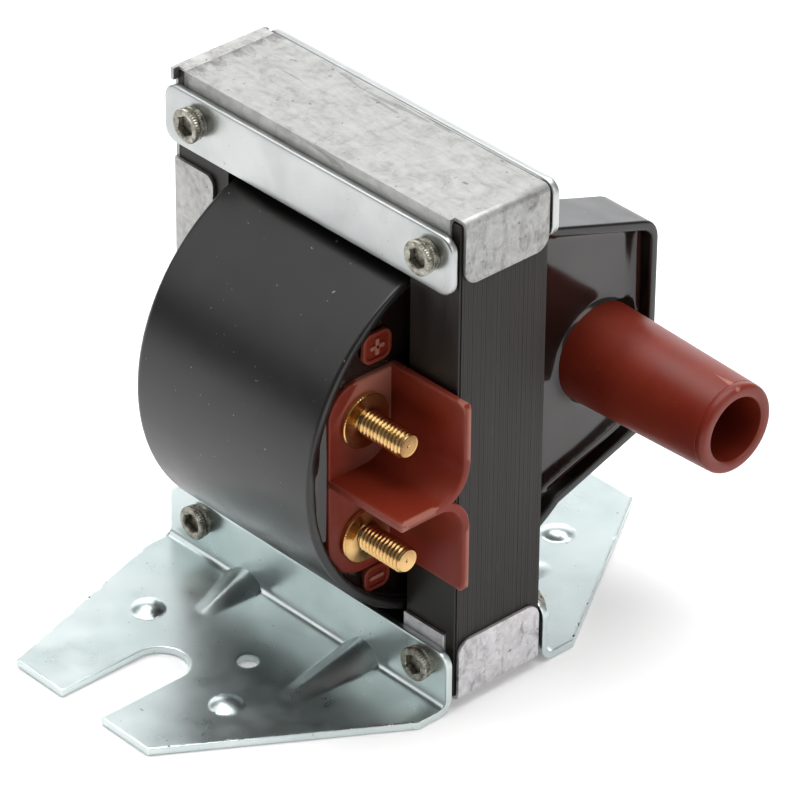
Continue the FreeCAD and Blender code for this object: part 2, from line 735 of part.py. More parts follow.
def stud(z):
    """Terminal stud: buried head, shank through the block, collar and outer end."""
    face = stud_head_face()
    body = rod("X", stud_y, z, stud_head_r, face, base_x0)
    body = body.fuse(rod("X", stud_y, z, stud_r, base_x0 - 0.5, base_x1 + 0.5))
    body = body.fuse(rod("X", stud_y, z, collar_r, base_x1, base_x1 + collar_t))
    tip = base_x1 + collar_t + stud_length
    end = 0.45
    body = body.fuse(rod("X", stud_y, z, stud_r, base_x1, tip - end))
    body = body.fuse(taper("X", stud_y, z, stud_r, stud_r - end, tip - end, tip))
    return body.removeSplitter()


# ---------------------------------------------------------------- high-tension tower
def ht_tower():
    body = bar("X", tower_y - tower_plate_front, tower_y + tower_plate_back,
               tower_z - tower_plate_low, tower_z + tower_plate_high, 2.0,
               tower_plate_x0, resin_x - 0.1)
    edge = tower_x1 - tower_lip_r
    body = body.fuse(taper("X", tower_y, tower_z, tower_root_r, tower_tip_r,
                           tower_plate_x0, edge))
    body = body.fuse(rod("X", tower_y, tower_z, tower_tip_r - 0.5, edge - 0.1, tower_x1))
    lip = Part.makeTorus(tower_tip_r - tower_lip_r, tower_lip_r, at("X", tower_y, tower_z, edge),
                         V(1, 0, 0))
    body = body.fuse(lip)
    body = body.cut(ring("X", tower_y, tower_z, tower_tip_r - 0.5, tower_tip_r + 2,
                         tower_x1 - 0.02, tower_x1 + 1))
    seat_x = tower_floor_x + contact_t + contact_post_l + tower_seat_clear
    body = body.cut(rod("X", tower_y, tower_z, tower_bore_r, seat_x, tower_x1 + 2))
    body = body.cut(rod("X", tower_y, tower_z, tower_seat_r, tower_floor_x, seat_x + 0.1))
    body = body.cut(rod("X", tower_y, tower_z, contact_pin_r, tower_plate_x0 - 1, tower_x1))
    return body


def ht_contact():
    base = tower_floor_x
    body = rod("X", tower_y, tower_z, contact_r, base, base + contact_t)
    body = body.fuse(rod("X", tower_y, tower_z, contact_post_r, base,
                         base + contact_t + contact_post_l))
    body = body.fuse(rod("X", tower_y, tower_z, contact_pin_r, tower_plate_x0 - 1.2, base + 0.5))
    return body.removeSplitter()


# ---------------------------------------------------------------- resin
def potting_resin(buried):
    """Everything inside the case up to the resin surface that no other piece fills."""
    body = case_cavity().common(block(case_x0, resin_x, -60, 60, -20, 120))
    body = body.cut(leg_sleeve(case_x0, case_x1))
    for piece in buried:
        body = body.cut(piece)
    solids = sorted(body.Solids, key=lambda s: s.Volume)
    return solids[-1]


# ---------------------------------------------------------------- build
def build():
    os.makedirs("parts", exist_ok=True)
    pieces = {
        "core_e_laminations": core_e(),
        "core_keeper_laminations": core_keeper(),
        "core_gap_spacer": gap_spacer(),
        "top_cap": cap(),
        "bottom_cap": flipped(cap()),
        "end_clip": end_clip(),
        "front_clamp_strip": strip(strip_below, strip_above),
        "rear_clamp_strip": mirrored(strip(strip_above, strip_below)),
        "front_bracket": bracket(),
        "rear_bracket": mirrored(bracket()),
        "core_screws": Part.makeCompound([screw(*p) for p in screw_places()]),
        "core_nuts": Part.makeCompound([nut(*p) for p in screw_places()]),
        "winding_case": case(),
    }
    buried = {
        "primary_bobbin": primary_bobbin(),
        "primary_winding": primary_winding(),
        "primary_wrap": primary_wrap(),
        "secondary_bobbin": secondary_bobbin(),
        "secondary_winding": secondary_winding(),
        "primary_lead_upper": primary_lead(0),
        "primary_lead_lower": primary_lead(1),
        "secondary_return_lead": return_lead(),
        "ht_lead": ht_lead(),
        "terminal_block": terminal_block(),
        "terminal_stud_upper": stud(stud_z[0]),
        "terminal_stud_lower": stud(stud_z[1]),
        "ht_tower": ht_tower(),
        "ht_contact": ht_contact(),
    }
    pieces.update(buried)
    pieces["potting_resin"] = potting_resin(buried.values())
    for name, shape in pieces.items():
        save(name, shape)
        print(name, len(shape.Solids), round(shape.Volume, 1), shape.isValid())


build()
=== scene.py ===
import math

import bmesh
import bpy
import numpy as np
from mathutils import Matrix, Vector, noise
from mathutils.geometry import delaunay_2d_cdt


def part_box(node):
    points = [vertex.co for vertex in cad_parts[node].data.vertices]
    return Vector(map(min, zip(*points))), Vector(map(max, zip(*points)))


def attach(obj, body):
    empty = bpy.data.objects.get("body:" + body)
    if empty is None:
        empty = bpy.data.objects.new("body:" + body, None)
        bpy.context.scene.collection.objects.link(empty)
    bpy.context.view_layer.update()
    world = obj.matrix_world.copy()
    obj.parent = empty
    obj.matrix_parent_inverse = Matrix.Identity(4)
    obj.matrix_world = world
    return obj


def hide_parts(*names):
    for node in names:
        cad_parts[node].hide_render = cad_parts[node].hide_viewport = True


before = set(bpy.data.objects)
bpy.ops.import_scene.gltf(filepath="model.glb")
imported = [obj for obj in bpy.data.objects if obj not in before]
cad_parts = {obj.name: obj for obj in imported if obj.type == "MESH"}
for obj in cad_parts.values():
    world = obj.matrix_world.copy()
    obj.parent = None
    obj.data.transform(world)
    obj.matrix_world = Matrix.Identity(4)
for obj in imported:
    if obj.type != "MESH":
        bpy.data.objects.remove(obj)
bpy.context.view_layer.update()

# Looks of the ignition coil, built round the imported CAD. Lengths are millimetres unless the
# name ends in _m. Places come from the CAD boxes; only what the CAD leaves out is stated here.

MM = 0.001
TAU = 2 * math.pi
rng = np.random.default_rng(7)


def box(node):
    lo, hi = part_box(node)
    return np.array(lo) / MM, np.array(hi) / MM


# ---------------------------------------------------------------- mesh building
class Shell:
    """Vertices and faces of one piece, in millimetres."""

    def __init__(self):
        self.points = []
        self.faces = []
        self.count = 0

    def add(self, points, faces):
        points = np.asarray(points, float)
        self.points.append(points)
        self.faces += [tuple(i + self.count for i in face) for face in faces]
        self.count += len(points)


def piece(name, shell, material, node, angle=32):
    """Makes the object with outward faces, smooth up to an angle, in place of a CAD node."""
    mesh = bpy.data.meshes.new(name)
    points = np.concatenate(shell.points) * MM
    mesh.from_pydata(points.tolist(), [], shell.faces)
    mesh.validate()
    mesh.materials.append(material)
    mesh.shade_smooth()
    mesh.set_sharp_from_angle(angle=math.radians(angle))
    obj = bpy.data.objects.new(name, mesh)
    bpy.context.scene.collection.objects.link(obj)
    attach(obj, "root")
    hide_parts(node)
    work = bmesh.new()
    work.from_mesh(mesh)
    bmesh.ops.recalc_face_normals(work, faces=work.faces)
    work.to_mesh(mesh)
    work.free()


def place_x(y, z):
    """Local (along, across, up) to a place on an axis along X."""
    return lambda p: np.column_stack([p[:, 0], y + p[:, 1], z + p[:, 2]])


def place_y(x, z, y0, sign):
    """Local along becomes Y from y0, towards sign."""
    return lambda p: np.column_stack([x + p[:, 1], y0 + sign * p[:, 0], z + p[:, 2]])


def lathe(shell, rows, place, segments=96, shape=None):
    """Turned solid. rows are (along, radius); radius 0 closes an end. shape bends the radius."""
    angles = np.arange(segments) * TAU / segments
    points, rings = [], []
    total = 0
    for i, (a, r) in enumerate(rows):
        if r == 0:
            points.append(np.array([[a, 0, 0]]))
            rings.append([total])
            total += 1
            continue
        radius = np.full(segments, float(r))
        along = np.full(segments, float(a))
        if shape is not None:
            along, radius = shape(i, along, radius, angles)
        points.append(np.column_stack([along, radius * np.cos(angles), radius * np.sin(angles)]))
        rings.append(list(range(total, total + segments)))
        total += segments
    faces = []
    for low, high in zip(rings[:-1], rings[1:]):
        for k in range(segments):
            n = (k + 1) % segments
            if len(low) == 1 and len(high) == 1:
                continue
            if len(low) == 1:
                faces.append((low[0], high[n], high[k]))
            elif len(high) == 1:
                faces.append((low[k], low[n], high[0]))
            else:
                faces.append((low[k], low[n], high[n], high[k]))
    shell.add(place(np.concatenate(points)), faces)


def rounded(corners, step=0.5):
    """Closed polyline through corners (u, v, r), counter-clockwise, arcs for the radii."""
    out = []
    count = len(corners)
    for i, (u, v, r) in enumerate(corners):
        here = np.array([u, v], float)
        if r <= 0:
            out.append(here)
            continue
        back = np.array(corners[i - 1][:2], float) - here
        ahead = np.array(corners[(i + 1) % count][:2], float) - here
        back /= np.linalg.norm(back)
        ahead /= np.linalg.norm(ahead)
        half = math.acos(np.clip(back @ ahead, -1, 1)) / 2
        reach = r / math.tan(half)
        middle = (back + ahead) / np.linalg.norm(back + ahead)
        centre = here + middle * r / math.sin(half)
        a0, a1 = here + back * reach - centre, here + ahead * reach - centre
        t0, t1 = math.atan2(a0[1], a0[0]), math.atan2(a1[1], a1[0])
        turn = (t1 - t0 + math.pi) % TAU - math.pi
        n = max(3, int(abs(turn) * r / step) + 2)
        for t in np.linspace(t0, t0 + turn, n):
            out.append(centre + r * np.array([math.cos(t), math.sin(t)]))
    return np.array(out)


def rounded_box(u0, v0, u1, v1, r, step=0.5):
    return rounded([(u0, v0, r), (u1, v0, r), (u1, v1, r), (u0, v1, r)], step)


def resample(loop, step):
    """Adds points on long straight stretches."""
    out = []
    for i, p in enumerate(loop):
        q = loop[(i + 1) % len(loop)]
        n = max(1, int(np.linalg.norm(q - p) / step))
        for k in range(n):
            out.append(p + (q - p) * k / n)
    return np.array(out)


def circle(u, v, r, n=32):
    t = np.arange(n) * TAU / n
    return np.column_stack([u + r * np.cos(t), v + r * np.sin(t)])


def inset(loop, d):
    """Moves a counter-clockwise loop inwards by d."""
    back = loop - np.roll(loop, 1, 0)
    ahead = np.roll(loop, -1, 0) - loop
    n0 = np.column_stack([-back[:, 1], back[:, 0]])
    n1 = np.column_stack([-ahead[:, 1], ahead[:, 0]])
    n0 /= np.maximum(np.linalg.norm(n0, axis=1, keepdims=True), 1e-9)
    n1 /= np.maximum(np.linalg.norm(n1, axis=1, keepdims=True), 1e-9)
    middle = n0 + n1
    middle /= np.maximum(np.linalg.norm(middle, axis=1, keepdims=True), 1e-9)
    lean = np.maximum((middle * n1).sum(1, keepdims=True), 0.5)
    return loop + middle * d / lean


def inside(points, loop):
    """Which points are inside a loop, by crossings."""
    x, y = points[:, 0][:, None], points[:, 1][:, None]
    a, b = loop, np.roll(loop, -1, 0)
    cross = (a[:, 1] > y) != (b[:, 1] > y)
    with np.errstate(divide="ignore", invalid="ignore"):
        at = (b[:, 0] - a[:, 0]) * (y - a[:, 1]) / (b[:, 1] - a[:, 1]) + a[:, 0]
    return ((x < at) & cross).sum(1) % 2 == 1


def clearance(points, loop):
    """Distance from points to a loop's edges."""
    a, b = loop, np.roll(loop, -1, 0)
    d = b - a
    best = np.full(len(points), 1e9)
    for p, e in zip(a, d):
        length = max(e @ e, 1e-12)
        t = np.clip((points - p) @ e / length, 0, 1)
        best = np.minimum(best, np.linalg.norm(points - p - t[:, None] * e, axis=1))
    return best


def fill(outer, holes, extra=None):
    """Triangles over a region with holes. Returns points (loops first) and triangles."""
    loops = [outer] + list(holes)
    points, edges = [], []
    for loop in loops:
        n0 = sum(len(p) for p in points)
        points.append(loop)
        edges += [(n0 + i, n0 + (i + 1) % len(loop)) for i in range(len(loop))]
    if extra is not None and len(extra):
        points.append(extra)
    flat = np.concatenate(points)
    made = delaunay_2d_cdt([Vector(p) for p in flat], edges, [], 0, 1e-7)
    out, faces, source = made[0], made[2], made[3]
    index = [s[0] if s else -1 for s in source]
    flat = list(flat)
    for i, s in enumerate(index):
        if s < 0:
            index[i] = len(flat)
            flat.append(np.array(out[i]))
    flat = np.array(flat)
    faces = np.array([[index[i] for i in face] for face in faces])
    middle = flat[faces].mean(1)
    keep = inside(middle, outer)
    for hole in holes:
        keep &= ~inside(middle, hole)
    return flat, faces[keep]


def prism_faces(tris, loops, n):
    """Faces between two copies of a filled region of n points: both ends and every loop's side."""
    faces = [tuple(t) for t in tris] + [tuple(t[::-1] + n) for t in tris]
    start = 0
    for loop in loops:
        m = len(loop)
        for k in range(m):
            j = (k + 1) % m
            faces.append((start + k, start + k + n, start + j + n, start + j))
        start += m
    return faces


def slab(shell, outer, holes, low, high, edge, place, steps=3, spacing=None):
    """Plate between two heights over a region, with rounded edges. place maps (u, v, h)."""
    turns = [(i / steps) * math.pi / 2 for i in range(steps + 1)]
    rings = [(edge * (1 - math.sin(t)), low + edge * (1 - math.cos(t))) for t in turns]
    upper = [(d, high - (h - low)) for d, h in reversed(rings)]
    if spacing:
        straight = high - low - 2 * edge
        between = int(straight / spacing)
        rings += [(0, low + edge + straight * k / (between + 1)) for k in range(1, between + 1)]
    rings += upper
    loops = [outer] + [h[::-1] for h in holes]
    layers = []
    for d, h in rings:
        layers.append([(inset(loop, d), h) for loop in loops])
    count = [len(loop) for loop in loops]
    points, faces = [], []
    total = sum(count)
    for layer in layers:
        for loop, h in layer:
            points.append(np.column_stack([loop, np.full(len(loop), h)]))
    for k in range(len(layers) - 1):
        offset = k * total
        for n in count:
            for i in range(n):
                j = (i + 1) % n
                faces.append((offset + i, offset + j, offset + total + j, offset + total + i))
            offset += n
    for k, up in ((0, False), (len(layers) - 1, True)):
        flat_loops = [layer[0] for layer in layers[k]]
        extra = None
        if spacing:
            lo, hi = flat_loops[0].min(0), flat_loops[0].max(0)
            gu, gv = np.meshgrid(np.arange(lo[0], hi[0], spacing),
                                 np.arange(lo[1], hi[1], spacing))
            extra = np.column_stack([gu.ravel(), gv.ravel()])
            keep = inside(extra, flat_loops[0]) & (clearance(extra, flat_loops[0]) > spacing / 2)
            for hole in flat_loops[1:]:
                keep &= ~inside(extra, hole) & (clearance(extra, hole) > spacing / 2)
            extra = extra[keep]
        flat, tris = fill(flat_loops[0], flat_loops[1:], extra)
        base = k * total
        extra_start = sum(len(p) for p in points)
        height = layers[k][0][1]
        if len(flat) > total:
            more = flat[total:]
            points.append(np.column_stack([more, np.full(len(more), height)]))
        for tri in tris:
            tri = [base + i if i < total else extra_start + i - total for i in tri]
            faces.append(tuple(tri) if up else tuple(tri[::-1]))
    shell.add(place(np.concatenate(points)), faces)


def across_y(p):
    """u, v, h become X, Z and Y."""
    return np.column_stack([p[:, 0], p[:, 2], p[:, 1]])


def across_x(p):
    """u, v, h become Y, Z and X."""
    return np.column_stack([p[:, 2], p[:, 0], p[:, 1]])


# ---------------------------------------------------------------- materials
class Look:
    """One material and the few node recipes that all of them share."""

    def __init__(self, name):
        self.mat = bpy.data.materials.new(name)
        self.mat.use_nodes = True
        self.nodes = self.mat.node_tree.nodes
        self.link = self.mat.node_tree.links.new
        self.shader = self.nodes["Principled BSDF"]
        self.coord = self.nodes.new("ShaderNodeTexCoord").outputs["Object"]

    def put(self, **values):
        """Sets sockets of the shader, spaces in their names written as underscores."""
        for name, value in values.items():
            self.shader.inputs[name.replace("_", " ")].default_value = value

    def grain(self, per_m, detail=4.0, roughness=0.55, distortion=0.0, along=None):
        """Noise; along stretches it by the inverse of each number."""
        node = self.nodes.new("ShaderNodeTexNoise")
        node.inputs["Scale"].default_value = per_m
        node.inputs["Detail"].default_value = detail
        node.inputs["Roughness"].default_value = roughness
        node.inputs["Distortion"].default_value = distortion
        vector = self.coord
        if along is not None:
            stretch = self.nodes.new("ShaderNodeMapping")
            stretch.inputs["Scale"].default_value = along
            self.link(self.coord, stretch.inputs["Vector"])
            vector = stretch.outputs["Vector"]
        self.link(vector, node.inputs["Vector"])
        return node.outputs["Fac"]

    def ramp(self, value, *stops):
        """Colour or grey ramp. stops are (position, colour or grey)."""
        node = self.nodes.new("ShaderNodeValToRGB")
        elements = node.color_ramp.elements
        while len(elements) < len(stops):
            elements.new(0.5)
        for element, (at, tone) in zip(elements, stops):
            element.position = at
            tone = (tone,) * 3 if isinstance(tone, (int, float)) else tone
            element.color = (*tone, 1)
        self.link(value, node.inputs["Fac"])
        return node.outputs["Color"]

    def mixed(self, factor, a, b, mode="MIX"):
        node = self.nodes.new("ShaderNodeMix")
        node.data_type = "RGBA"
        node.blend_type = mode
        for socket, value in ((node.inputs[0], factor), (node.inputs[6], a), (node.inputs[7], b)):
            if hasattr(value, "is_output"):
                self.link(value, socket)
            elif isinstance(value, (int, float)):
                socket.default_value = value
            else:
                socket.default_value = (*value, 1)
        return node.outputs[2]

    def spots(self, tone, value, start, full, share, colour):
        """Adds colour where value is high, from start to full."""
        return self.mixed(self.ramp(value, (start, 0.0), (full, share)), tone, colour)

    def edges(self, *stops):
        """Ramp over how sharp the surface turns: low in hollows, high on edges."""
        geometry = self.nodes.new("ShaderNodeNewGeometry")
        return self.ramp(geometry.outputs["Pointiness"], *stops)

    def mask(self, axis, at_mm, over_mm):
        """0 to 1 along one axis of the object, between two places."""
        split = self.nodes.new("ShaderNodeSeparateXYZ")
        self.link(self.coord, split.inputs[0])
        node = self.nodes.new("ShaderNodeMapRange")
        node.inputs["From Min"].default_value = at_mm * MM
        node.inputs["From Max"].default_value = (at_mm + over_mm) * MM
        self.link(split.outputs[axis], node.inputs["Value"])
        return node.outputs["Result"]

    def colour(self, tone):
        self.link(tone, self.shader.inputs["Base Color"])

    def rough(self, value, low, high):
        self.link(self.ramp(value, (0.3, low), (0.7, high)), self.shader.inputs["Roughness"])

    def bump(self, height, distance_mm, strength, under=None):
        node = self.nodes.new("ShaderNodeBump")
        node.inputs["Strength"].default_value = strength
        node.inputs["Distance"].default_value = distance_mm * MM
        self.link(height, node.inputs["Height"])
        if under is not None:
            self.link(under, node.inputs["Normal"])
        self.link(node.outputs["Normal"], self.shader.inputs["Normal"])
        return node.outputs["Normal"]


def zinc(name, light, dark, rough=0.30):
    """Bright zinc plating with soft clouds, small pits and faint rolling lines."""
    look = Look(name)
    clouds = look.grain(55, 4, 0.55, 0.6)
    tone = look.ramp(clouds, (0.32, dark), (0.60, light))
    tone = look.spots(tone, look.grain(1250, 1, 0.4), 0.765, 0.80, 0.55, (0.17, 0.18, 0.17))
    look.colour(tone)
    look.put(Metallic=1.0)
    look.rough(look.grain(160, 5, 0.6), rough - 0.04, rough + 0.08)
    first = look.bump(look.grain(1500, 3, 0.6, along=(0.06, 1, 1)), 0.004, 0.35)
    look.bump(look.grain(2600, 3, 0.6), 0.006, 0.4, first)
    return look.mat


def tinned(name, light, middle, dark, along, darkening=()):
    """Dull tinned sheet: spangle, brushed streaks, scratches, and patchy darkening towards the
    stated ends.
    """
    look = Look(name)
    blotch = look.grain(330, 8, 0.7, 0.5)
    tone = look.ramp(blotch, (0.34, dark), (0.47, middle), (0.62, light))
    streaks = look.grain(1100, 5, 0.65, along=along)
    tone = look.mixed(0.5, tone, look.ramp(streaks, (0.32, 0.74), (0.60, 1.0)), "MULTIPLY")
    scratch = look.grain(330, 3, 0.5, 0.9, along=(0.10, 1.3, 1))
    tone = look.spots(tone, scratch, 0.665, 0.685, 0.5, (0.16, 0.15, 0.14))
    tone = look.spots(tone, look.grain(650, 2, 0.5), 0.70, 0.745, 0.75, (0.10, 0.095, 0.09))
    patchiness = look.grain(420, 7, 0.72, 0.7, along=(0.5, 1, 0.5))
    for axis, at, over, cover in darkening:
        near = look.ramp(look.mask(axis, at, over), (0.0, 0.0), (1.0, cover))
        amount = look.ramp(look.mixed(0.5, patchiness, near), (0.66, 0.0), (0.78, 0.8))
        tone = look.mixed(amount, tone, (0.10, 0.095, 0.09))
    look.colour(tone)
    look.put(Metallic=0.75)
    look.rough(look.grain(300, 5, 0.6), 0.40, 0.56)
    first = look.bump(streaks, 0.012, 0.5)
    look.bump(blotch, 0.03, 0.6, first)
    return look.mat


def varnished_steel(name):
    """Dark varnish over stacked sheets, thin along the edges."""
    look = Look(name)
    runs = look.grain(260, 5, 0.6, 0.5, along=(1, 1, 0.12))
    tone = look.ramp(runs, (0.3, (0.007, 0.0055, 0.0045)), (0.7, (0.018, 0.014, 0.0115)))
    worn = look.grain(900, 4, 0.7, along=(1, 1, 0.2))
    tone = look.spots(tone, worn, 0.64, 0.78, 0.4, (0.060, 0.053, 0.046))
    look.colour(tone)
    look.put(Specular_IOR_Level=0.3)
    look.rough(runs, 0.36, 0.52)
    look.bump(worn, 0.01, 0.35)
    return look.mat


def case_plastic(name):
    """Satin black moulding with dust and hair scratches."""
    look = Look(name)
    cloud = look.grain(45, 4, 0.5)
    tone = look.ramp(cloud, (0.3, (0.0045, 0.0036, 0.0033)), (0.7, (0.0072, 0.0060, 0.0054)))
    tone = look.spots(tone, look.grain(1300, 1, 0.4), 0.775, 0.81, 0.5, (0.40, 0.39, 0.37))
    look.colour(tone)
    look.rough(look.grain(90, 5, 0.6, 0.4), 0.27, 0.36)
    look.put(Specular_IOR_Level=0.5)
    look.bump(look.grain(1700, 4, 0.7, 0.5, along=(0.2, 1, 0.5)), 0.004, 0.3)
    return look.mat


def resin_gloss(name):
    """Cast resin: glossy, dark brown, with a soft uneven surface."""
    look = Look(name)
    cloud = look.grain(70, 4, 0.5, 0.5)
    tone = look.ramp(cloud, (0.3, (0.009, 0.005, 0.004)), (0.7, (0.017, 0.010, 0.008)))
    look.colour(tone)
    look.rough(cloud, 0.09, 0.15)
    look.put(Specular_IOR_Level=0.6)
    look.bump(look.grain(120, 2, 0.4), 0.10, 0.3)
    return look.mat


def red_plastic(name, sheen):
    """Red-brown moulding compound, lighter where edges are rubbed."""
    look = Look(name)
    cloud = look.grain(75, 5, 0.55, 0.4)
    tone = look.ramp(cloud, (0.3, (0.145, 0.013, 0.0050)), (0.7, (0.195, 0.022, 0.009)))
    tone = look.spots(tone, look.grain(1600, 2, 0.5), 0.70, 0.78, 0.3, (0.34, 0.12, 0.08))
    edge = look.edges((0.53, 0.0), (0.60, 0.8))
    tone = look.mixed(edge, tone, (0.36, 0.14, 0.10))
    look.colour(tone)
    look.rough(cloud, 0.36, 0.48)
    look.put(Specular_IOR_Level=sheen)
    look.bump(look.grain(1900, 3, 0.6), 0.012, 0.3)
    return look.mat


def brass(name):
    """Turned brass with fine tool lines, a few dull spots, and painted shade darkening its hollows.
    """
    look = Look(name)
    cloud = look.grain(260, 4, 0.55)
    tone = look.ramp(cloud, (0.3, (0.58, 0.34, 0.12)), (0.7, (0.76, 0.50, 0.22)))
    # Painted shade: hollows such as the thread grooves are darkened as if in shadow.
    groove_shade = look.edges((0.44, 0.92), (0.51, 0.0))
    tone = look.mixed(groove_shade, tone, (0.055, 0.022, 0.006))
    look.colour(tone)
    look.put(Metallic=1.0)
    look.rough(cloud, 0.16, 0.26)
    look.bump(look.grain(5000, 2, 0.5, along=(1, 0.1, 0.1)), 0.002, 0.2)
    return look.mat


def screw_steel(name):
    """Dull olive plating, with painted shade darkening the hollows."""
    look = Look(name)
    cloud = look.grain(900, 6, 0.65)
    tone = look.ramp(cloud, (0.34, (0.11, 0.10, 0.075)), (0.66, (0.50, 0.49, 0.42)))
    # Painted shade: hollows such as the serrations and the socket are darkened.
    hollow_shade = look.edges((0.42, 0.9), (0.50, 0.0))
    tone = look.mixed(hollow_shade, tone, (0.03, 0.025, 0.018))
    look.colour(tone)
    look.put(Metallic=0.85)
    look.rough(cloud, 0.32, 0.48)
    look.bump(cloud, 0.03, 0.6)
    return look.mat


def plain_grain(name, a, b, per_m, metallic, rough, bump_mm, along=(1, 1, 1)):
    """Two tones over a noise, for the pieces inside the resin."""
    look = Look(name)
    cloud = look.grain(per_m, 5, 0.6, along=along)
    look.colour(look.ramp(cloud, (0.3, a), (0.7, b)))
    look.put(Metallic=metallic)
    look.rough(cloud, rough, rough + 0.14)
    look.bump(cloud, bump_mm, 0.5)
    return look.mat


ZINC = zinc("zinc_bracket", (0.63, 0.70, 0.688), (0.54, 0.615, 0.61))
STRIP = zinc("zinc_strip", (0.49, 0.502, 0.498), (0.395, 0.41, 0.408), 0.34)
# The caps are dirty near their left end and patchy dark over their +X end; the clip is darker
# towards its bottom.
CAP = tinned("tinned_cap", (0.42, 0.42, 0.408), (0.37, 0.37, 0.36), (0.29, 0.29, 0.283),
             (0.2, 1, 1), [("X", -12.0, -14.0, 1.0), ("X", 41.8, 1.4, 0.84)])
# The bottom cap's copy of the tinned look is much lighter: painted light, standing in for light
# from the bright table below.
CAP_PAINTED_LIGHT = tinned("tinned_cap_painted_light", (0.72, 0.70, 0.72), (0.62, 0.605, 0.62), (0.46, 0.445, 0.46),
                 (0.2, 1, 1), [("X", 41.8, 1.4, 0.80)])
CLIP = tinned("tinned_clip", (0.50, 0.49, 0.475), (0.40, 0.395, 0.385), (0.27, 0.265, 0.255),
              (1, 1, 0.25), [("Z", 60.0, -30.0, 0.9)])
CORE = varnished_steel("core_varnish")
CASE = case_plastic("case_moulding")
RESIN = resin_gloss("casting_resin")
RED = red_plastic("red_moulding", 0.22)
TOWER_RED = red_plastic("red_tower", 0.32)
BRASS = brass("turned_brass")
SCREW = screw_steel("screw_plating")
COPPER = plain_grain("copper_wire", (0.50, 0.19, 0.08), (0.78, 0.36, 0.18), 900, 1.0, 0.28,
                     0.03, (1, 0.2, 0.2))
NYLON = plain_grain("bobbin_nylon", (0.56, 0.49, 0.36), (0.68, 0.61, 0.47), 240, 0.0, 0.46, 0.01)
FILM = plain_grain("winding_film", (0.60, 0.43, 0.14), (0.74, 0.58, 0.26), 300, 0.0, 0.24, 0.01)
FIBRE = plain_grain("pressed_fibre", (0.26, 0.17, 0.09), (0.40, 0.28, 0.17), 800, 0.0, 0.7, 0.03)

# ---------------------------------------------------------------- places from the CAD
e_lo, e_hi = box("core_e_laminations")
keeper_hi = box("core_keeper_laminations")[1]
strip_lo, strip_hi = box("front_clamp_strip")
bracket_lo, bracket_hi = box("front_bracket")
case_lo, case_hi = box("winding_case")
resin_lo, resin_hi = box("potting_resin")
spacer_lo, spacer_hi = box("core_gap_spacer")
block_lo, block_hi = box("terminal_block")
tower_lo, tower_hi = box("ht_tower")
contact_lo, contact_hi = box("ht_contact")
screws_lo, screws_hi = box("core_screws")
stud_boxes = [box("terminal_stud_upper"), box("terminal_stud_lower")]

core_x0, core_x1 = e_lo[0], keeper_hi[0]
core_z0, core_z1 = e_lo[2], e_hi[2]
core_mid_z = (core_z0 + core_z1) / 2
stack_y = e_hi[1]
back_w = 12.9
window_x1 = e_hi[0]
window_x0 = core_x0 + back_w
yoke_h = 8.8
leg_z0, leg_z1 = spacer_lo[2], spacer_hi[2]
air_gap = spacer_hi[0] - spacer_lo[0]
side_y = strip_hi[1] * -1
head_r = 3.2
screw_x = (screws_lo[0] + head_r, screws_hi[0] - head_r)
screw_z = (screws_lo[2] + head_r, screws_hi[2] - head_r)
hole_r = 2.15
strip_corner_r = 2.8


# ---------------------------------------------------------------- laminated core
sheets = 40
sheet_gap = 0.03
sheet_uneven = 0.04
core_edge_r = 0.8


def lamination_stack(shell, outer, holes):
    """Thin sheets with slightly uneven edges; the outer ones are a little smaller."""
    pitch = 2 * stack_y / sheets
    for i in range(sheets):
        y0 = -stack_y + i * pitch
        depth = min(y0 + stack_y + pitch / 2, stack_y - y0 - pitch / 2)
        shrink = 0.0
        if depth < core_edge_r:
            lean = core_edge_r - depth
            shrink = core_edge_r - math.sqrt(core_edge_r ** 2 - lean ** 2)
        uneven = shrink + rng.uniform(0, sheet_uneven)
        loop = outer.copy()
        loop[:, 0] = np.clip(loop[:, 0], core_x0 + uneven, core_x1 - uneven)
        loop[:, 1] = np.clip(loop[:, 1], core_z0 + uneven, core_z1 - uneven)
        low, high = y0 + sheet_gap / 2, y0 + pitch - sheet_gap / 2
        reversed_holes = [h[::-1] for h in holes]
        flat, tris = fill(loop, reversed_holes)
        n = len(flat)
        points = np.concatenate([np.column_stack([flat, np.full(n, y)]) for y in (low, high)])
        shell.add(across_y(points), prism_faces(tris, [loop] + reversed_holes, n))


def build_core():
    """The E sheets and the I sheets, each with holes for its two screws."""
    holes = {side: [circle(x, z, hole_r, 20) for z in screw_z]
             for side, x in zip(("e", "i"), screw_x)}
    gap_x = window_x1 - air_gap
    corners = [(core_x0, core_z0, 0), (window_x1, core_z0, 0), (window_x1, core_z0 + yoke_h, 0),
               (window_x0, core_z0 + yoke_h, 0), (window_x0, leg_z0, 0), (gap_x, leg_z0, 0),
               (gap_x, leg_z1, 0), (window_x0, leg_z1, 0), (window_x0, core_z1 - yoke_h, 0),
               (window_x1, core_z1 - yoke_h, 0), (window_x1, core_z1, 0), (core_x0, core_z1, 0)]
    shell = Shell()
    lamination_stack(shell, rounded(corners), holes["e"])
    piece("e_sheets", shell, CORE, "core_e_laminations")
    r = core_edge_r
    corners = [(window_x1, core_z0, 0), (core_x1, core_z0, r), (core_x1, core_z1, r),
               (window_x1, core_z1, 0)]
    shell = Shell()
    lamination_stack(shell, rounded(corners), holes["i"])
    piece("keeper_sheets", shell, CORE, "core_keeper_laminations")


# ---------------------------------------------------------------- strips and brackets
strip_edge_r = 0.35
dent_depth = 0.09           # pull of each screw
dent_reach = 5.0
edge_fall = 0.10            # rolled fall along the strip's edges
edge_reach = 2.2
outer_skin = 0.8            # only points further out than this are bent


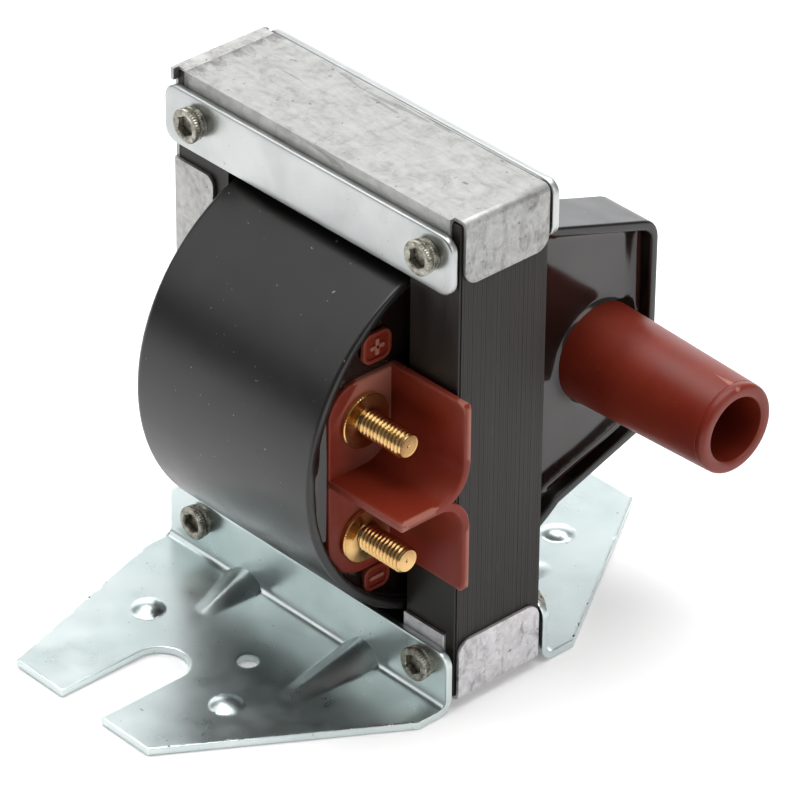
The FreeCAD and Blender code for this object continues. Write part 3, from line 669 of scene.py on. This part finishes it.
def build_strips():
    """Thick plated strips, pulled in slightly round each screw; the rear one is turned over."""
    for name, node, sign in (("front_strip", "front_clamp_strip", -1),
                             ("rear_strip", "rear_clamp_strip", 1)):
        lo, hi = box(node)
        z0, z1 = lo[2], hi[2]
        outer = resample(rounded_box(lo[0], z0, hi[0], z1, strip_corner_r), 1.5)
        holes = [circle(x, screw_z[1], hole_r, 32) for x in screw_x]

        def place(p, sign=sign, z0=z0, z1=z1):
            dent = np.zeros(len(p))
            for x in screw_x:
                d = np.hypot(p[:, 0] - x, p[:, 1] - screw_z[1])
                dent += dent_depth * np.exp(-(d / dent_reach) ** 2)
            edge = np.minimum(p[:, 1] - z0, z1 - p[:, 1])
            fall = edge_fall * np.clip(1 - edge / edge_reach, 0, 1) ** 2
            h = np.where(p[:, 2] > side_y + outer_skin, p[:, 2] - dent - fall, p[:, 2])
            return np.column_stack([p[:, 0], sign * h, p[:, 1]])
        shell = Shell()
        slab(shell, outer, holes, side_y, -strip_lo[1], strip_edge_r, place, 3, 1.2)
        piece(name, shell, STRIP, node, 40)


slot_r = 5.2
slot_end_y = 35.3
plate_t = 1.4
bend_r = 1.4
tip_half = 17.7
shoulder_left_y = 17.2
shoulder_right_y = 18.4
flange_corner_r = 3.0
pilot = (9.6, 28.4, 1.95)   # X, reach from the middle, radius
dimples = [(-14.2, 31.0), (17.0, 39.7)]     # X, reach
dimple_r = 2.9
dimple_h = 1.1
ribs = [(-9.2, -7.1, 25.2), (21.7, 22.6, 31.4)]     # X at the root, X at the tip, tip's reach
rib_slope = 0.1815          # ridge height over rib length
rib_half = 4.7
rib_tip_half = 2.2
rib_foot = 1.25             # width, in rib halves, over which the rib meets the plate
rib_blend = 0.04
plate_edge_r = 0.16


def bracket_surface(x, s, h):
    """Place on the folded sheet: x along it, s down the flange and out, h below the seen face."""
    plate_y = side_y + plate_t
    flange = bracket_hi[2] - plate_t - bend_r
    arc = bend_r * math.pi / 2
    turn = np.clip((s - flange) / bend_r, 0, math.pi / 2)
    out = np.maximum(s - flange - arc, 0)
    up = np.maximum(flange - s, 0)
    normal_y, normal_z = -np.cos(turn), np.sin(turn)
    y = -(plate_y + bend_r) + bend_r * np.cos(turn) - out
    z = plate_t + bend_r - bend_r * np.sin(turn) + up
    reach = -y
    for middle_root, middle_tip, tip in ribs:
        length = tip - plate_y
        t = np.clip((reach - plate_y) / length, -0.1, 1.6)
        middle = middle_root + (middle_tip - middle_root) * t
        half = rib_half + (rib_tip_half - rib_half) * t
        crest = rib_slope * length * (1 - t)
        d = np.abs(x - middle) / np.maximum(half, 0.3)
        # Sharp ridge near the tip, round arch where the rib meets the flange.
        power = 1 + 0.9 * np.clip(1 - 1.5 * t, 0, 1)
        top = plate_t + crest * (1 - (d ** 2 + 0.004) ** (power / 2))
        top -= 2 * np.maximum(t - 1, 0)
        rise = (z + top + np.hypot(z - top, rib_blend) - rib_blend) / 2
        weight = np.clip((rib_foot - d) * 8, 0, 1)
        z = np.where(d < rib_foot, z + (np.maximum(rise, z) - z) * weight, z)
    for dx, dy in dimples:
        d = np.hypot(x - dx, reach - dy) / dimple_r
        z = z + np.where(d < 1, dimple_h * np.clip(1 - d ** 2, 0, 1) ** 0.8, 0)
    return np.column_stack([x, y - normal_y * h, z - normal_z * h])


def build_brackets():
    """Folded sheet: an upright flange and a tapered plate with an open slot."""
    x0, x1 = bracket_lo[0], bracket_hi[0]
    plate_y = side_y + plate_t
    flange = bracket_hi[2] - plate_t - bend_r
    shift = flange + bend_r * math.pi / 2 - plate_y - bend_r
    reach = -bracket_lo[1]
    left, right = shoulder_left_y + shift, shoulder_right_y + shift
    s_end = reach + shift
    s_slot = slot_end_y + shift
    corners = [(x0, 0, flange_corner_r), (x0, left, 1.5), (-tip_half, s_end, 0.3),
               (-slot_r, s_end, 0.4), (-slot_r, s_slot, slot_r), (slot_r, s_slot, slot_r),
               (slot_r, s_end, 0.4), (tip_half, s_end, 0.3), (x1, right, 0.5),
               (x1, 0, flange_corner_r)]
    outer = resample(rounded([(x, -s, r) for x, s, r in corners], 0.35), 0.6)
    holes = [circle(pilot[0], -(pilot[1] + shift), pilot[2], 40)]
    holes += [circle(x, -(bracket_hi[2] - screw_z[0]), hole_r, 32) for x in screw_x]
    for name, node, sign in (("front_bracket_sheet", "front_bracket", 1),
                             ("rear_bracket_sheet", "rear_bracket", -1)):
        def place(p, sign=sign):
            q = bracket_surface(p[:, 0], -p[:, 1], plate_t - p[:, 2])
            q[:, 1] *= sign
            return q
        shell = Shell()
        slab(shell, outer, holes, 0, plate_t, plate_edge_r, place, 2, 0.5)
        piece(name, shell, ZINC, node, 38)


# ---------------------------------------------------------------- screws and nuts
nut_h = 1.7
nut_across = 7.0
screw_past_nut = 0.3
screw_r = 2.0
screw_pitch = 0.7
threaded = 4.4
# X, Z and distance from the middle of each screw's seat, lower pair first.
seats = [(x, screw_z[0], side_y + plate_t) for x in screw_x]
seats += [(x, screw_z[1], -strip_lo[1]) for x in screw_x]


def build_screws():
    """Cap screws with two serrated rings and a hexagon socket."""
    teeth = 40
    out = [(0.0, 2.85), (0.75, 2.85), (0.85, 3.08), (1.3, 3.12), (1.42, 2.82), (1.68, 2.82),
           (1.78, 3.10), (1.95, 3.2), (2.5, 3.2), (2.68, 3.08), (2.75, 2.9), (2.75, 2.35),
           (2.68, 2.05), (2.5, 1.88), (1.9, 1.84), (1.45, 1.80), (1.38, 1.5), (1.35, 0.7),
           (1.35, 0)]
    serrated = {2, 3, 6, 7, 8, 9}
    hexed = {13, 14, 15, 16}

    def head_shape(i, along, radius, angles):
        if i in serrated:
            wave = np.abs((angles * teeth / TAU) % 1 - 0.5) * 2
            radius = radius - 0.14 * wave
        if i in hexed:
            flat = (angles + math.pi / 6) % (math.pi / 3) - math.pi / 6
            radius = radius * 0.93 / np.cos(flat)
        return along, radius

    shell = Shell()
    for x, z, seat in seats:
        lathe(shell, out, place_y(x, z, -seat, -1), 160, head_shape)
        length = 2 * seat + nut_h + screw_past_nut
        shank = [(0, 0), (0, screw_r), (length - threaded - 0.1, screw_r)]
        turns = np.arange(0, threaded - 0.5, 0.07)
        shank += [(length - threaded + a, screw_r - 0.02) for a in turns]
        shank += [(length, screw_r - 0.4), (length, 0)]

        def thread(i, along, radius, angles, first=3, last=3 + len(turns)):
            if first <= i < last:
                phase = (along / screw_pitch - angles / TAU) % 1
                radius = radius - 0.54 * np.abs(phase - 0.5)
            return along, radius
        lathe(shell, shank, place_y(x, z, -seat, 1), 48, thread)
    piece("cap_screws", shell, SCREW, "core_screws", 30)


def build_nuts():
    """Hexagon nuts with chamfered corners and a washer face."""
    shell = Shell()
    rows = [(0.0, screw_r), (0.0, 3.3), (0.15, 3.35), (0.15, 3.45), (0.4, 4.1), (nut_h - 0.35, 4.1),
            (nut_h, 3.45), (nut_h, 2.35), (nut_h - 0.3, screw_r), (0.0, screw_r)]

    def hexagon(i, along, radius, angles):
        flat = angles % (math.pi / 3) - math.pi / 6
        limit = nut_across / 2 / np.cos(flat)
        if 3 <= i <= 6:
            radius = np.minimum(radius, limit)
        return along, radius

    for x, z, seat in seats:
        lathe(shell, rows, place_y(x, z, seat, 1), 96, hexagon)
    piece("hexagon_nuts", shell, SCREW, "core_nuts", 25)


# ---------------------------------------------------------------- winding case and resin
case_wall = 1.9
sleeve_wall = 1.2
sleeve_gap = 0.4
drum_r = (resin_hi[2] - resin_lo[2]) / 2 + case_wall
drum_z = (resin_hi[2] + resin_lo[2]) / 2
drum_y = case_lo[1] + drum_r
box_slope = math.radians(18.5)
box_top_z = drum_z + 21.3
box_bottom_z = drum_z - 20.3
chamber_depth = 12.3
box_x0 = case_hi[0] - chamber_depth
box_corner_r = 4.5
case_floor = 2.0
floor_ring_r = 21.4
rim_x = case_hi[0]
resin_x = resin_hi[0]


def case_outline(wall, step=1.2):
    """Drum circle joined to the narrowing chamber behind it, moved in by wall."""
    r = drum_r - wall
    lean = wall / math.cos(box_slope)
    back = case_hi[1] - wall
    tilt = math.tan(box_slope)
    ends = []
    for z_back, sign in ((box_top_z, 1), (box_bottom_z, -1)):
        z_corner = z_back + sign * (wall * tilt - lean)
        # Where the slanted wall meets the circle, both taken from the drum's axis.
        c = sign * (z_corner + sign * (back - drum_y) * tilt - drum_z)
        a, b, k = 1 + tilt ** 2, -2 * c * tilt, c ** 2 - r ** 2
        reach = (-b - math.sqrt(max(b * b - 4 * a * k, 0))) / (2 * a)
        far = (-b + math.sqrt(max(b * b - 4 * a * k, 0))) / (2 * a)
        reach = far if far < back - drum_y and far > 0 else reach
        ends.append((reach, sign * (c - tilt * reach), z_corner))
    (y_top, up_top, z_top), (y_low, up_low, z_low) = ends
    corner = max(box_corner_r - wall, 0.5)
    hook = [(drum_y + y_low, drum_z + up_low, 0), (back, z_low, corner), (back, z_top, corner),
            (drum_y + y_top, drum_z + up_top, 0)]
    chamber = rounded(hook, step)
    t0 = math.atan2(up_top, y_top)
    t1 = math.atan2(up_low, y_low) + TAU
    n = int((t1 - t0) * r / step)
    arc = [(drum_y + r * math.cos(t), drum_z + r * math.sin(t))
           for t in np.linspace(t0, t1, n)[1:-1]]
    return np.concatenate([chamber, np.array(arc)])


def leg_loop(grow, r=1.5):
    y = stack_y + sleeve_gap + sleeve_wall + grow
    z = (leg_z1 - leg_z0) / 2 + sleeve_gap + sleeve_wall + grow
    return rounded_box(-y, core_mid_z - z, y, core_mid_z + z, r, 0.6)


def arc(u, v, r, t0, t1, step=0.5):
    """Points on an arc, both ends included, angles in radians."""
    n = max(3, int(abs(t1 - t0) * r / step) + 2)
    t = np.linspace(t0, t1, n)
    return np.column_stack([u + r * np.cos(t), v + r * np.sin(t)])


def build_case():
    """One skin: closed end, barrel, rear chamber, rim and inner walls, and the leg's sleeve."""
    shell = Shell()
    outline = resample(case_outline(0), 1.2)
    centre = np.array([drum_y, drum_z])
    ray = outline - centre
    reach = np.linalg.norm(ray, axis=1, keepdims=True)
    ray /= reach
    chamber = reach[:, 0] > drum_r + 1e-4
    x0, end_r, rim_r, edge = case_lo[0], 1.3, 0.55, 0.9
    floor_x = x0 + case_floor

    def drum_ring(x, r):
        return np.column_stack([np.full(len(ray), x), centre + ray * r])

    def chamber_ring(x, d):
        """The outline moved in by d; on the drum part d only rounds the rim."""
        return np.column_stack([np.full(len(ray), x), inset(outline, d)])

    def back_ring(x, d):
        """The chamber's outline moved in by d, but nowhere inside the drum's circle."""
        out = inset(outline, d)
        loop = centre + ray * drum_r
        further = chamber & (np.linalg.norm(out - centre, axis=1) > drum_r)
        loop[further] = out[further]
        return np.column_stack([np.full(len(ray), x), loop])

    rings = [drum_ring(x0, floor_ring_r)]
    for t in np.linspace(math.pi / 2, 0, 7):
        rings.append(drum_ring(x0 + end_r * (1 - math.sin(t)), drum_r - end_r * (1 - math.cos(t))))
    rings.append(drum_ring(x0 + end_r + 0.2, drum_r))
    rings += [drum_ring(x, drum_r) for x in np.linspace(x0 + 6, box_x0 - 0.1, 5)]
    for t in np.linspace(math.pi / 2, 0, 5):
        rings.append(back_ring(box_x0 + edge * (1 - math.sin(t)), edge * (1 - math.cos(t))))
    rim_start = rim_x - rim_r
    rings += [chamber_ring(x, 0) for x in (box_x0 + edge + 0.2, rim_start - 3, rim_start - 0.2)]
    for t in np.linspace(0, math.pi / 2, 5):
        rings.append(chamber_ring(rim_x - rim_r * (1 - math.sin(t)), rim_r * (1 - math.cos(t))))
    for t in np.linspace(math.pi / 2, 0, 5):
        rings.append(chamber_ring(rim_x - rim_r * (1 - math.sin(t)),
                                  case_wall - rim_r * (1 - math.cos(t))))
    rings += [chamber_ring(rim_x - 4, case_wall), chamber_ring(box_x0 + case_wall, case_wall)]
    rings += [drum_ring(box_x0 + case_wall, drum_r - case_wall),
              drum_ring(floor_x, drum_r - case_wall), drum_ring(floor_x, floor_ring_r)]
    n = len(ray)
    faces = []
    for k in range(len(rings)):
        low, high = k * n, ((k + 1) % len(rings)) * n
        faces += [(low + i, low + (i + 1) % n, high + (i + 1) % n, high + i) for i in range(n)]
    shell.add(np.concatenate(rings), faces)
    end = circle(drum_y, drum_z, floor_ring_r - 0.05, 96)
    opening = leg_loop(-sleeve_wall, 0.4)
    slab(shell, end, [opening], x0, floor_x, 0.02, across_x, 1)
    slab(shell, leg_loop(0), [opening], x0 + 1.0, rim_x - 2.1, 0.25, across_x, 2)
    piece("case_moulding", shell, CASE, "winding_case", 34)


tower_y = (contact_lo[1] + contact_hi[1]) / 2
tower_z = (contact_lo[2] + contact_hi[2]) / 2
tower_root_r = 9.6
tower_tip_r = 8.5
tower_bore_r = 6.15
tower_lip_r = 0.95
tower_root_x = tower_lo[0] + 2.1
socket_floor_x = tower_root_x + 3.1
stud_mid_z = (stud_boxes[0][0][2] + stud_boxes[0][1][2]
              + stud_boxes[1][0][2] + stud_boxes[1][1][2]) / 4


base_half = 19.45
base_x1 = resin_x + 1.3
base_x0 = base_x1 - 2.8


def base_outline(grow=0.0):
    """Outline of the terminal block's base, in Y and Z."""
    left, right = block_lo[1] - grow, block_hi[1]
    low, high = stud_mid_z - base_half - grow, stud_mid_z + base_half + grow
    return rounded([(left, low, 8.0), (right, low, 0.3), (right, high, 0.3), (left, high, 6.0)],
                   0.6)


resin_skin = 3.0            # depth of the visible resin piece
climb_h = 0.75              # meniscus height and how soon it dies away
climb_reach = 0.6
wave_h = 0.22
wave_length = 11.0


def build_resin():
    """Resin surface with a meniscus at every wall, over a closed body."""
    step = 0.9
    outer = resample(case_outline(case_wall - 0.04, 0.8), step)
    leg = resample(leg_loop(-0.02), step)
    lo, hi = outer.min(0), outer.max(0)
    gy, gz = np.meshgrid(np.arange(lo[0], hi[0], step), np.arange(lo[1], hi[1], step))
    grid = np.column_stack([gy.ravel(), gz.ravel()])
    rings = [inset(outer, d) for d in (0.35, 0.8)]
    rings += [inset(leg[::-1], d) for d in (0.35, 0.8)]
    extra = np.concatenate([grid] + rings)
    keep = inside(extra, outer) & ~inside(extra, leg)
    near = np.minimum(clearance(grid, outer), clearance(grid, leg))
    keep[:len(grid)] &= near > 1.25
    extra = extra[keep]
    root = circle(tower_y, tower_z, tower_root_r - 0.15, 90)
    rings = [inset(root, d) for d in (0.0, -0.4, -0.9)]
    beside = clearance(extra, root)
    extra = np.concatenate([extra[beside > 1.2]] + rings)
    flat, tris = fill(outer, [leg[::-1]], extra)
    wall = np.minimum.reduce([clearance(flat, outer), clearance(flat, leg),
                              clearance(flat, root), clearance(flat, base_outline())])
    climb = climb_h * np.exp(-wall / climb_reach)
    middle = np.array([tower_y, tower_z])
    covered = inside(flat, base_outline(-0.4))
    covered |= np.linalg.norm(flat - middle, axis=1) < tower_root_r - 0.4
    waves = np.array([noise.noise(Vector((y, z, 0)) / wave_length + Vector((0, 0, 0.3)))
                      for y, z in flat])
    x = np.where(covered, resin_x - 0.2, resin_x - 0.05 + climb + wave_h * waves)
    x = np.minimum(x, rim_x - 1.2)
    n = len(flat)
    low = np.full(n, resin_x - resin_skin)
    points = np.concatenate([np.column_stack([x, flat]), np.column_stack([low, flat])])
    shell = Shell()
    shell.add(points, prism_faces(tris, (outer, leg[::-1]), n))
    piece("resin_fill", shell, RESIN, "potting_resin", 60)


# ---------------------------------------------------------------- terminal block and studs
wall_t = 1.6
wall_edge_r = 0.35
wall_corner_r = 1.3
shelf_up = 1.6              # shelf's middle above the middle of the studs
shelf_high_r = 6.0
shelf_low_r = 5.5
wall_over = 0.5             # wall past the base at its top
wall_short = 1.7            # and short of it at its bottom
tag_w = 6.4
tag_h = {True: 5.8, False: 4.9}
tag_gap = 2.1
tag_rise = 0.8
mark_rise = 1.15


def terminal_walls(shell):
    """Wall beside the core leg, run into the shelf between the studs from both sides."""
    z0 = stud_mid_z + shelf_up - wall_t / 2
    z1 = z0 + wall_t
    left, y1 = block_lo[1], block_hi[1]
    y0 = y1 - wall_t
    top, bottom = stud_mid_z + base_half + wall_over, stud_mid_z - base_half + wall_short
    high_r, low_r = shelf_high_r + wall_t, shelf_low_r + wall_t
    # The two outer curves meet in a shallow notch behind the shelf.
    low_centre = np.array([y1 - low_r, z1 - low_r])
    high_centre = np.array([y1 - high_r, z0 + high_r])
    across = high_centre - low_centre
    span = np.linalg.norm(across)
    along = (span ** 2 + low_r ** 2 - high_r ** 2) / (2 * span)
    side = math.sqrt(low_r ** 2 - along ** 2)
    unit = across / span
    notch = low_centre + unit * along + np.array([unit[1], -unit[0]]) * side
    from_low, from_high = notch - low_centre, notch - high_centre
    lower = arc(*low_centre, low_r, 0, math.atan2(from_low[1], from_low[0]))
    upper = arc(*high_centre, high_r, math.atan2(from_high[1], from_high[0]), 0)
    corners = [(left, z0, wall_edge_r), (y0, z0, shelf_low_r), (y0, bottom, 0.5),
               (y1, bottom, 0.5)]
    corners += [(*p, 0) for p in lower] + [(*p, 0) for p in upper[1:]]
    corners += [(y1, top, 0.5), (y0, top, 0.5), (y0, z1, shelf_high_r), (left, z1, wall_edge_r)]
    loop = resample(rounded(corners, 0.5), 0.8)
    x1 = block_hi[0]

    def place(p):
        """Rounds the wall's two far corners."""
        q = across_x(p)
        for edge_z, sign in ((top, 1), (bottom, -1)):
            d = np.clip((q[:, 2] - edge_z) * sign + wall_corner_r, 0, wall_corner_r)
            far = x1 - wall_corner_r + np.sqrt(wall_corner_r ** 2 - d ** 2)
            q[:, 0] = np.minimum(q[:, 0], far)
        return q
    slab(shell, loop, [], base_x1 - 1, x1, wall_edge_r, place, 3, 0.8)


def tag(shell, positive):
    """Small raised tag with a generic polarity mark."""
    high = tag_h[positive]
    y1 = block_hi[1] - wall_t + 0.2
    if positive:
        y0 = y1 - tag_w
        z0 = stud_mid_z + base_half + tag_gap
    else:
        y0 = y1 - tag_w + 0.5
        z0 = stud_mid_z - base_half - tag_gap - 3.3
    outer = rounded_box(y0, z0, y1, z0 + high, 1.8, 0.4)
    slab(shell, outer, [], resin_x - 1.0, resin_x + tag_rise, 0.35, across_x, 3)
    frame_in = inset(outer, 0.75)
    slab(shell, outer, [frame_in], resin_x - 0.5, resin_x + mark_rise, 0.2, across_x, 2)
    y, z = (y0 + y1) / 2, z0 + high / 2
    long_half, short_half = 1.6, 0.42
    bars = [(long_half, short_half)] + ([(short_half, long_half)] if positive else [])
    for half_y, half_z in bars:
        loop = rounded_box(y - half_y, z - half_z, y + half_y, z + half_z, 0.2, 0.2)
        slab(shell, loop, [], resin_x + 0.5, resin_x + mark_rise, 0.15, across_x, 2)


def build_block():
    """Base trimmed to the drum, insulating walls and the two polarity tags."""
    shell = Shell()
    outline = base_outline()
    middle = np.array([drum_y, drum_z])
    ray = outline - middle
    length = np.linalg.norm(ray, axis=1, keepdims=True)
    outline = middle + ray * np.minimum(1, (drum_r - case_wall - 0.4) / length)
    slab(shell, resample(outline, 0.9), [], base_x0, base_x1, 0.4, across_x, 3)
    terminal_walls(shell)
    tag(shell, True)
    tag(shell, False)
    piece("terminal_moulding", shell, RED, "terminal_block", 34)


stud_r = 2.5
stud_root_r = 3.5
collar_r = 5.25
collar_t = 1.0
collar_teeth = 64
collar_tooth = 0.16
thread_pitch = 0.85
thread_depth = 0.44


def build_studs():
    """Threaded studs with a knurled collar and a chamfered end."""
    for (lo, hi), name, node in zip(stud_boxes, ("upper_stud", "lower_stud"),
                                    ("terminal_stud_upper", "terminal_stud_lower")):
        y = (lo[1] + hi[1]) / 2
        z = (lo[2] + hi[2]) / 2
        tip = hi[0]
        face = base_x1 + collar_t
        collar = [(lo[0], 0), (lo[0], stud_root_r), (base_x0, stud_root_r), (base_x0, stud_r),
                  (base_x1, stud_r), (base_x1, collar_r - 0.25), (base_x1 + 0.12, collar_r),
                  (face - 0.18, collar_r), (face, collar_r - 0.23), (face, 3.0),
                  (face + 0.15, 2.62)]
        count = 130
        thread = [(a, stud_r) for a in np.linspace(face + 0.3, tip - 0.05, count)]
        end = [(tip, 2.02), (tip - 0.05, 1.6), (tip - 0.07, 0.35), (tip - 0.16, 0.2),
               (tip - 0.2, 0)]
        first = len(collar)

        def shape(i, along, radius, angles):
            if 6 <= i <= 7:
                wave = np.abs((angles * collar_teeth / TAU) % 1 - 0.5) * 2
                radius = radius - collar_tooth * wave
            if first <= i < first + count:
                phase = (along / thread_pitch - angles / TAU) % 1
                wave = 0.5 - 0.5 * np.cos(phase * TAU)
                radius = stud_r - thread_depth * wave ** 0.8
                radius = np.minimum(radius, stud_r - np.maximum(along - (tip - 0.6), 0) * 0.85)
                start = np.clip((along - face - 0.3) / 0.6, 0, 1)
                radius = radius * start + 2.3 * (1 - start)
            return along, radius

        shell = Shell()
        lathe(shell, collar + thread + end, place_x(y, z), 192, shape)
        piece(name, shell, BRASS, node, 30)


# ---------------------------------------------------------------- high-tension tower
def build_tower():
    """Tapered tower with a rounded lip and a fine step below it."""
    shell = Shell()
    tip, root, lip = tower_hi[0], tower_root_x, tower_lip_r
    rows = [(tower_lo[0] + 0.3, 0), (tower_lo[0] + 0.3, tower_root_r), (root, tower_root_r)]
    slope = (tower_root_r - tower_tip_r) / (tip - root)
    step = tip - 2 * lip
    rows += [(a, tower_root_r - slope * (a - root)) for a in np.linspace(root + 0.6, step, 14)]
    r_here = tower_root_r - slope * (step - root)
    rows += [(step + 0.05, r_here - 0.05), (step + 0.12, r_here - 0.05),
             (step + 0.2, r_here - 0.01)]
    for t in np.linspace(0, math.pi / 2, 8):
        rows.append((tip - lip + lip * math.sin(t), tower_tip_r - lip + lip * math.cos(t)))
    bore = tower_bore_r
    rows += [(tip, bore + 0.6), (tip - 0.08, bore + 0.3), (tip - 0.35, bore + 0.03)]
    rows += [(a, bore) for a in np.linspace(tip - 0.8, socket_floor_x + 0.4, 10)]
    rows += [(socket_floor_x, bore - 0.4), (socket_floor_x, 0)]
    lathe(shell, rows, place_x(tower_y, tower_z), 160)
    plate = rounded_box(tower_y - 18.0, tower_z - 10.7, tower_y + 9.0, tower_z + 11.2, 2, 0.6)
    slab(shell, plate, [], tower_lo[0], resin_x - 0.35, 0.3, across_x, 2)
    piece("tower_moulding", shell, TOWER_RED, "ht_tower", 32)


def build_contact():
    """Contact post with a chamfered head, a shallow recess in its end, and a washer."""
    shell = Shell()
    base, top = socket_floor_x, contact_hi[0]
    rows = [(contact_lo[0], 0), (contact_lo[0], 1.2), (base, 1.2), (base, 3.45),
            (base + 0.15, 3.6), (base + 1.0, 3.6), (base + 1.2, 3.4), (base + 1.2, 2.1),
            (base + 1.4, 1.9), (top - 0.5, 1.9), (top, 1.4), (top - 0.05, 0.5), (top - 0.25, 0)]
    lathe(shell, rows, place_x(tower_y, tower_z), 64)
    piece("contact_post", shell, BRASS, "ht_contact", 30)


# ---------------------------------------------------------------- carried CAD pieces
def dress(node, material, edge_mm=0.0):
    """Gives a carried CAD piece its material and, if asked, small rounded edges."""
    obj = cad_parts[node]
    obj.data.materials.clear()
    obj.data.materials.append(material)
    if edge_mm:
        weld = obj.modifiers.new("weld", "WELD")
        weld.merge_threshold = 1e-6
        bevel = obj.modifiers.new("edge", "BEVEL")
        bevel.width = edge_mm * MM
        bevel.segments = 2
        bevel.limit_method = "ANGLE"
        bevel.angle_limit = math.radians(35)
        bevel.use_clamp_overlap = False
        bevel.harden_normals = True


def dress_carried():
    """The sheet caps and clip, and the pieces inside the resin."""
    dress("top_cap", CAP, 0.12)
    dress("bottom_cap", CAP_PAINTED_LIGHT, 0.12)
    dress("end_clip", CLIP, 0.08)
    dress("core_gap_spacer", FIBRE)
    for node in ("primary_bobbin", "secondary_bobbin"):
        dress(node, NYLON, 0.15)
    for node in ("primary_winding", "secondary_winding", "primary_lead_upper",
                 "primary_lead_lower", "secondary_return_lead", "ht_lead"):
        dress(node, COPPER)
    dress("primary_wrap", FILM)


# ---------------------------------------------------------------- floor, light and camera
def build_stage():
    """Lit pale table."""
    mesh = bpy.data.meshes.new("floor")
    size, n = 3.0, 24
    points, faces = [], []
    for i in range(n + 1):
        for j in range(n + 1):
            points.append((size * (i / n - 0.5), size * (j / n - 0.5), -0.0002))
    for i in range(n):
        for j in range(n):
            a = i * (n + 1) + j
            faces.append((a, a + n + 1, a + n + 2, a + 1))
    mesh.from_pydata(points, [], faces)
    look = Look("floor_paper")
    look.colour(look.ramp(look.grain(6, 2, 0.5), (0.2, 0.955), (0.8, 0.97)))
    look.put(Roughness=0.9, Specular_IOR_Level=0.1, Emission_Color=(1, 1, 1, 1),
             Emission_Strength=table_glow)
    mesh.materials.append(look.mat)
    floor = bpy.data.objects.new("floor", mesh)
    bpy.context.scene.collection.objects.link(floor)


def area_light(name, place_m, aim_m, size_m, watts, tint=(1, 1, 1)):
    light = bpy.data.lights.new(name, "AREA")
    light.shape = "RECTANGLE"
    light.size, light.size_y = size_m
    light.energy = watts
    light.color = tint
    obj = bpy.data.objects.new(name, light)
    obj.location = place_m
    aim = Vector(aim_m) - Vector(place_m)
    obj.rotation_mode = "QUATERNION"
    obj.rotation_quaternion = aim.to_track_quat("-Z", "Y")
    bpy.context.scene.collection.objects.link(obj)


def build_light():
    """Dim room, a bright backdrop low behind the object, and soft boxes above and to the left."""
    world = bpy.data.worlds.new("studio")
    world.use_nodes = True
    tree = world.node_tree
    coord = tree.nodes.new("ShaderNodeTexCoord").outputs["Generated"]
    toward = tree.nodes.new("ShaderNodeVectorMath")
    toward.operation = "DOT_PRODUCT"
    toward.inputs[1].default_value = backdrop_way
    tree.links.new(coord, toward.inputs[0])
    glow = tree.nodes.new("ShaderNodeMapRange")
    glow.interpolation_type = "SMOOTHERSTEP"
    for socket, value in (("From Min", 0.70), ("From Max", 0.97), ("To Min", room_level),
                          ("To Max", backdrop_level)):
        glow.inputs[socket].default_value = value
    tree.links.new(toward.outputs["Value"], glow.inputs["Value"])
    back = tree.nodes["Background"]
    back.inputs["Color"].default_value = (0.97, 0.985, 1.0, 1)
    tree.links.new(glow.outputs["Result"], back.inputs["Strength"])
    bpy.context.scene.world = world
    aim = (0.01, 0, 0.04)
    area_light("top_softbox", (-0.10, 0.15, 1.1), aim, (1.3, 1.1), top_watts)
    area_light("left_softbox", (-0.80, -0.60, 0.75), aim, (0.7, 0.9), left_watts)
    area_light("right_softbox", (0.95, 0.25, 0.45), aim, (0.5, 0.7), right_watts, (1, 0.98, 0.95))


backdrop_way = (-0.72, 0.69, 0.0)
room_level = 0.25
table_glow = 0.13
backdrop_level = 2.3
top_watts = 18.5
left_watts = 2.4
right_watts = 2.2
azimuth, elevation, roll = (math.radians(a) for a in (47.214, 32.627, -0.526))
view_distance = 956.52
lens_mm = 251.588
sensor_mm = 36.0
aim_point = np.array([7.78, 0, 45.0])
aim_offset = np.array([-5.441, 0.845])


def build_camera():
    """Camera from its bearing, tilt and distance to the aim point."""
    back = np.array([math.sin(azimuth) * math.cos(elevation),
                     -math.cos(azimuth) * math.cos(elevation), math.sin(elevation)])
    right = np.array([math.cos(azimuth), math.sin(azimuth), 0])
    up = np.cross(back, right)
    c, s = math.cos(roll), math.sin(roll)
    turned = [c * right - s * up, s * right + c * up, back]
    offset = np.array([*aim_offset, -view_distance])
    eye = aim_point - sum(o * axis for o, axis in zip(offset, turned))
    data = bpy.data.cameras.new("camera")
    data.sensor_width = sensor_mm
    data.lens = lens_mm
    data.clip_start, data.clip_end = 0.05, 20
    obj = bpy.data.objects.new("camera", data)
    matrix = Matrix([[turned[j][i] for j in range(3)] + [eye[i] * MM] for i in range(3)]
                    + [[0, 0, 0, 1]])
    obj.matrix_world = matrix
    bpy.context.scene.collection.objects.link(obj)
    bpy.context.scene.camera = obj


build_core()
build_strips()
build_brackets()
build_screws()
build_nuts()
build_case()
build_resin()
build_block()
build_studs()
build_tower()
build_contact()
dress_carried()
build_stage()
build_light()
build_camera()
bpy.context.scene.view_settings.view_transform = "Standard"
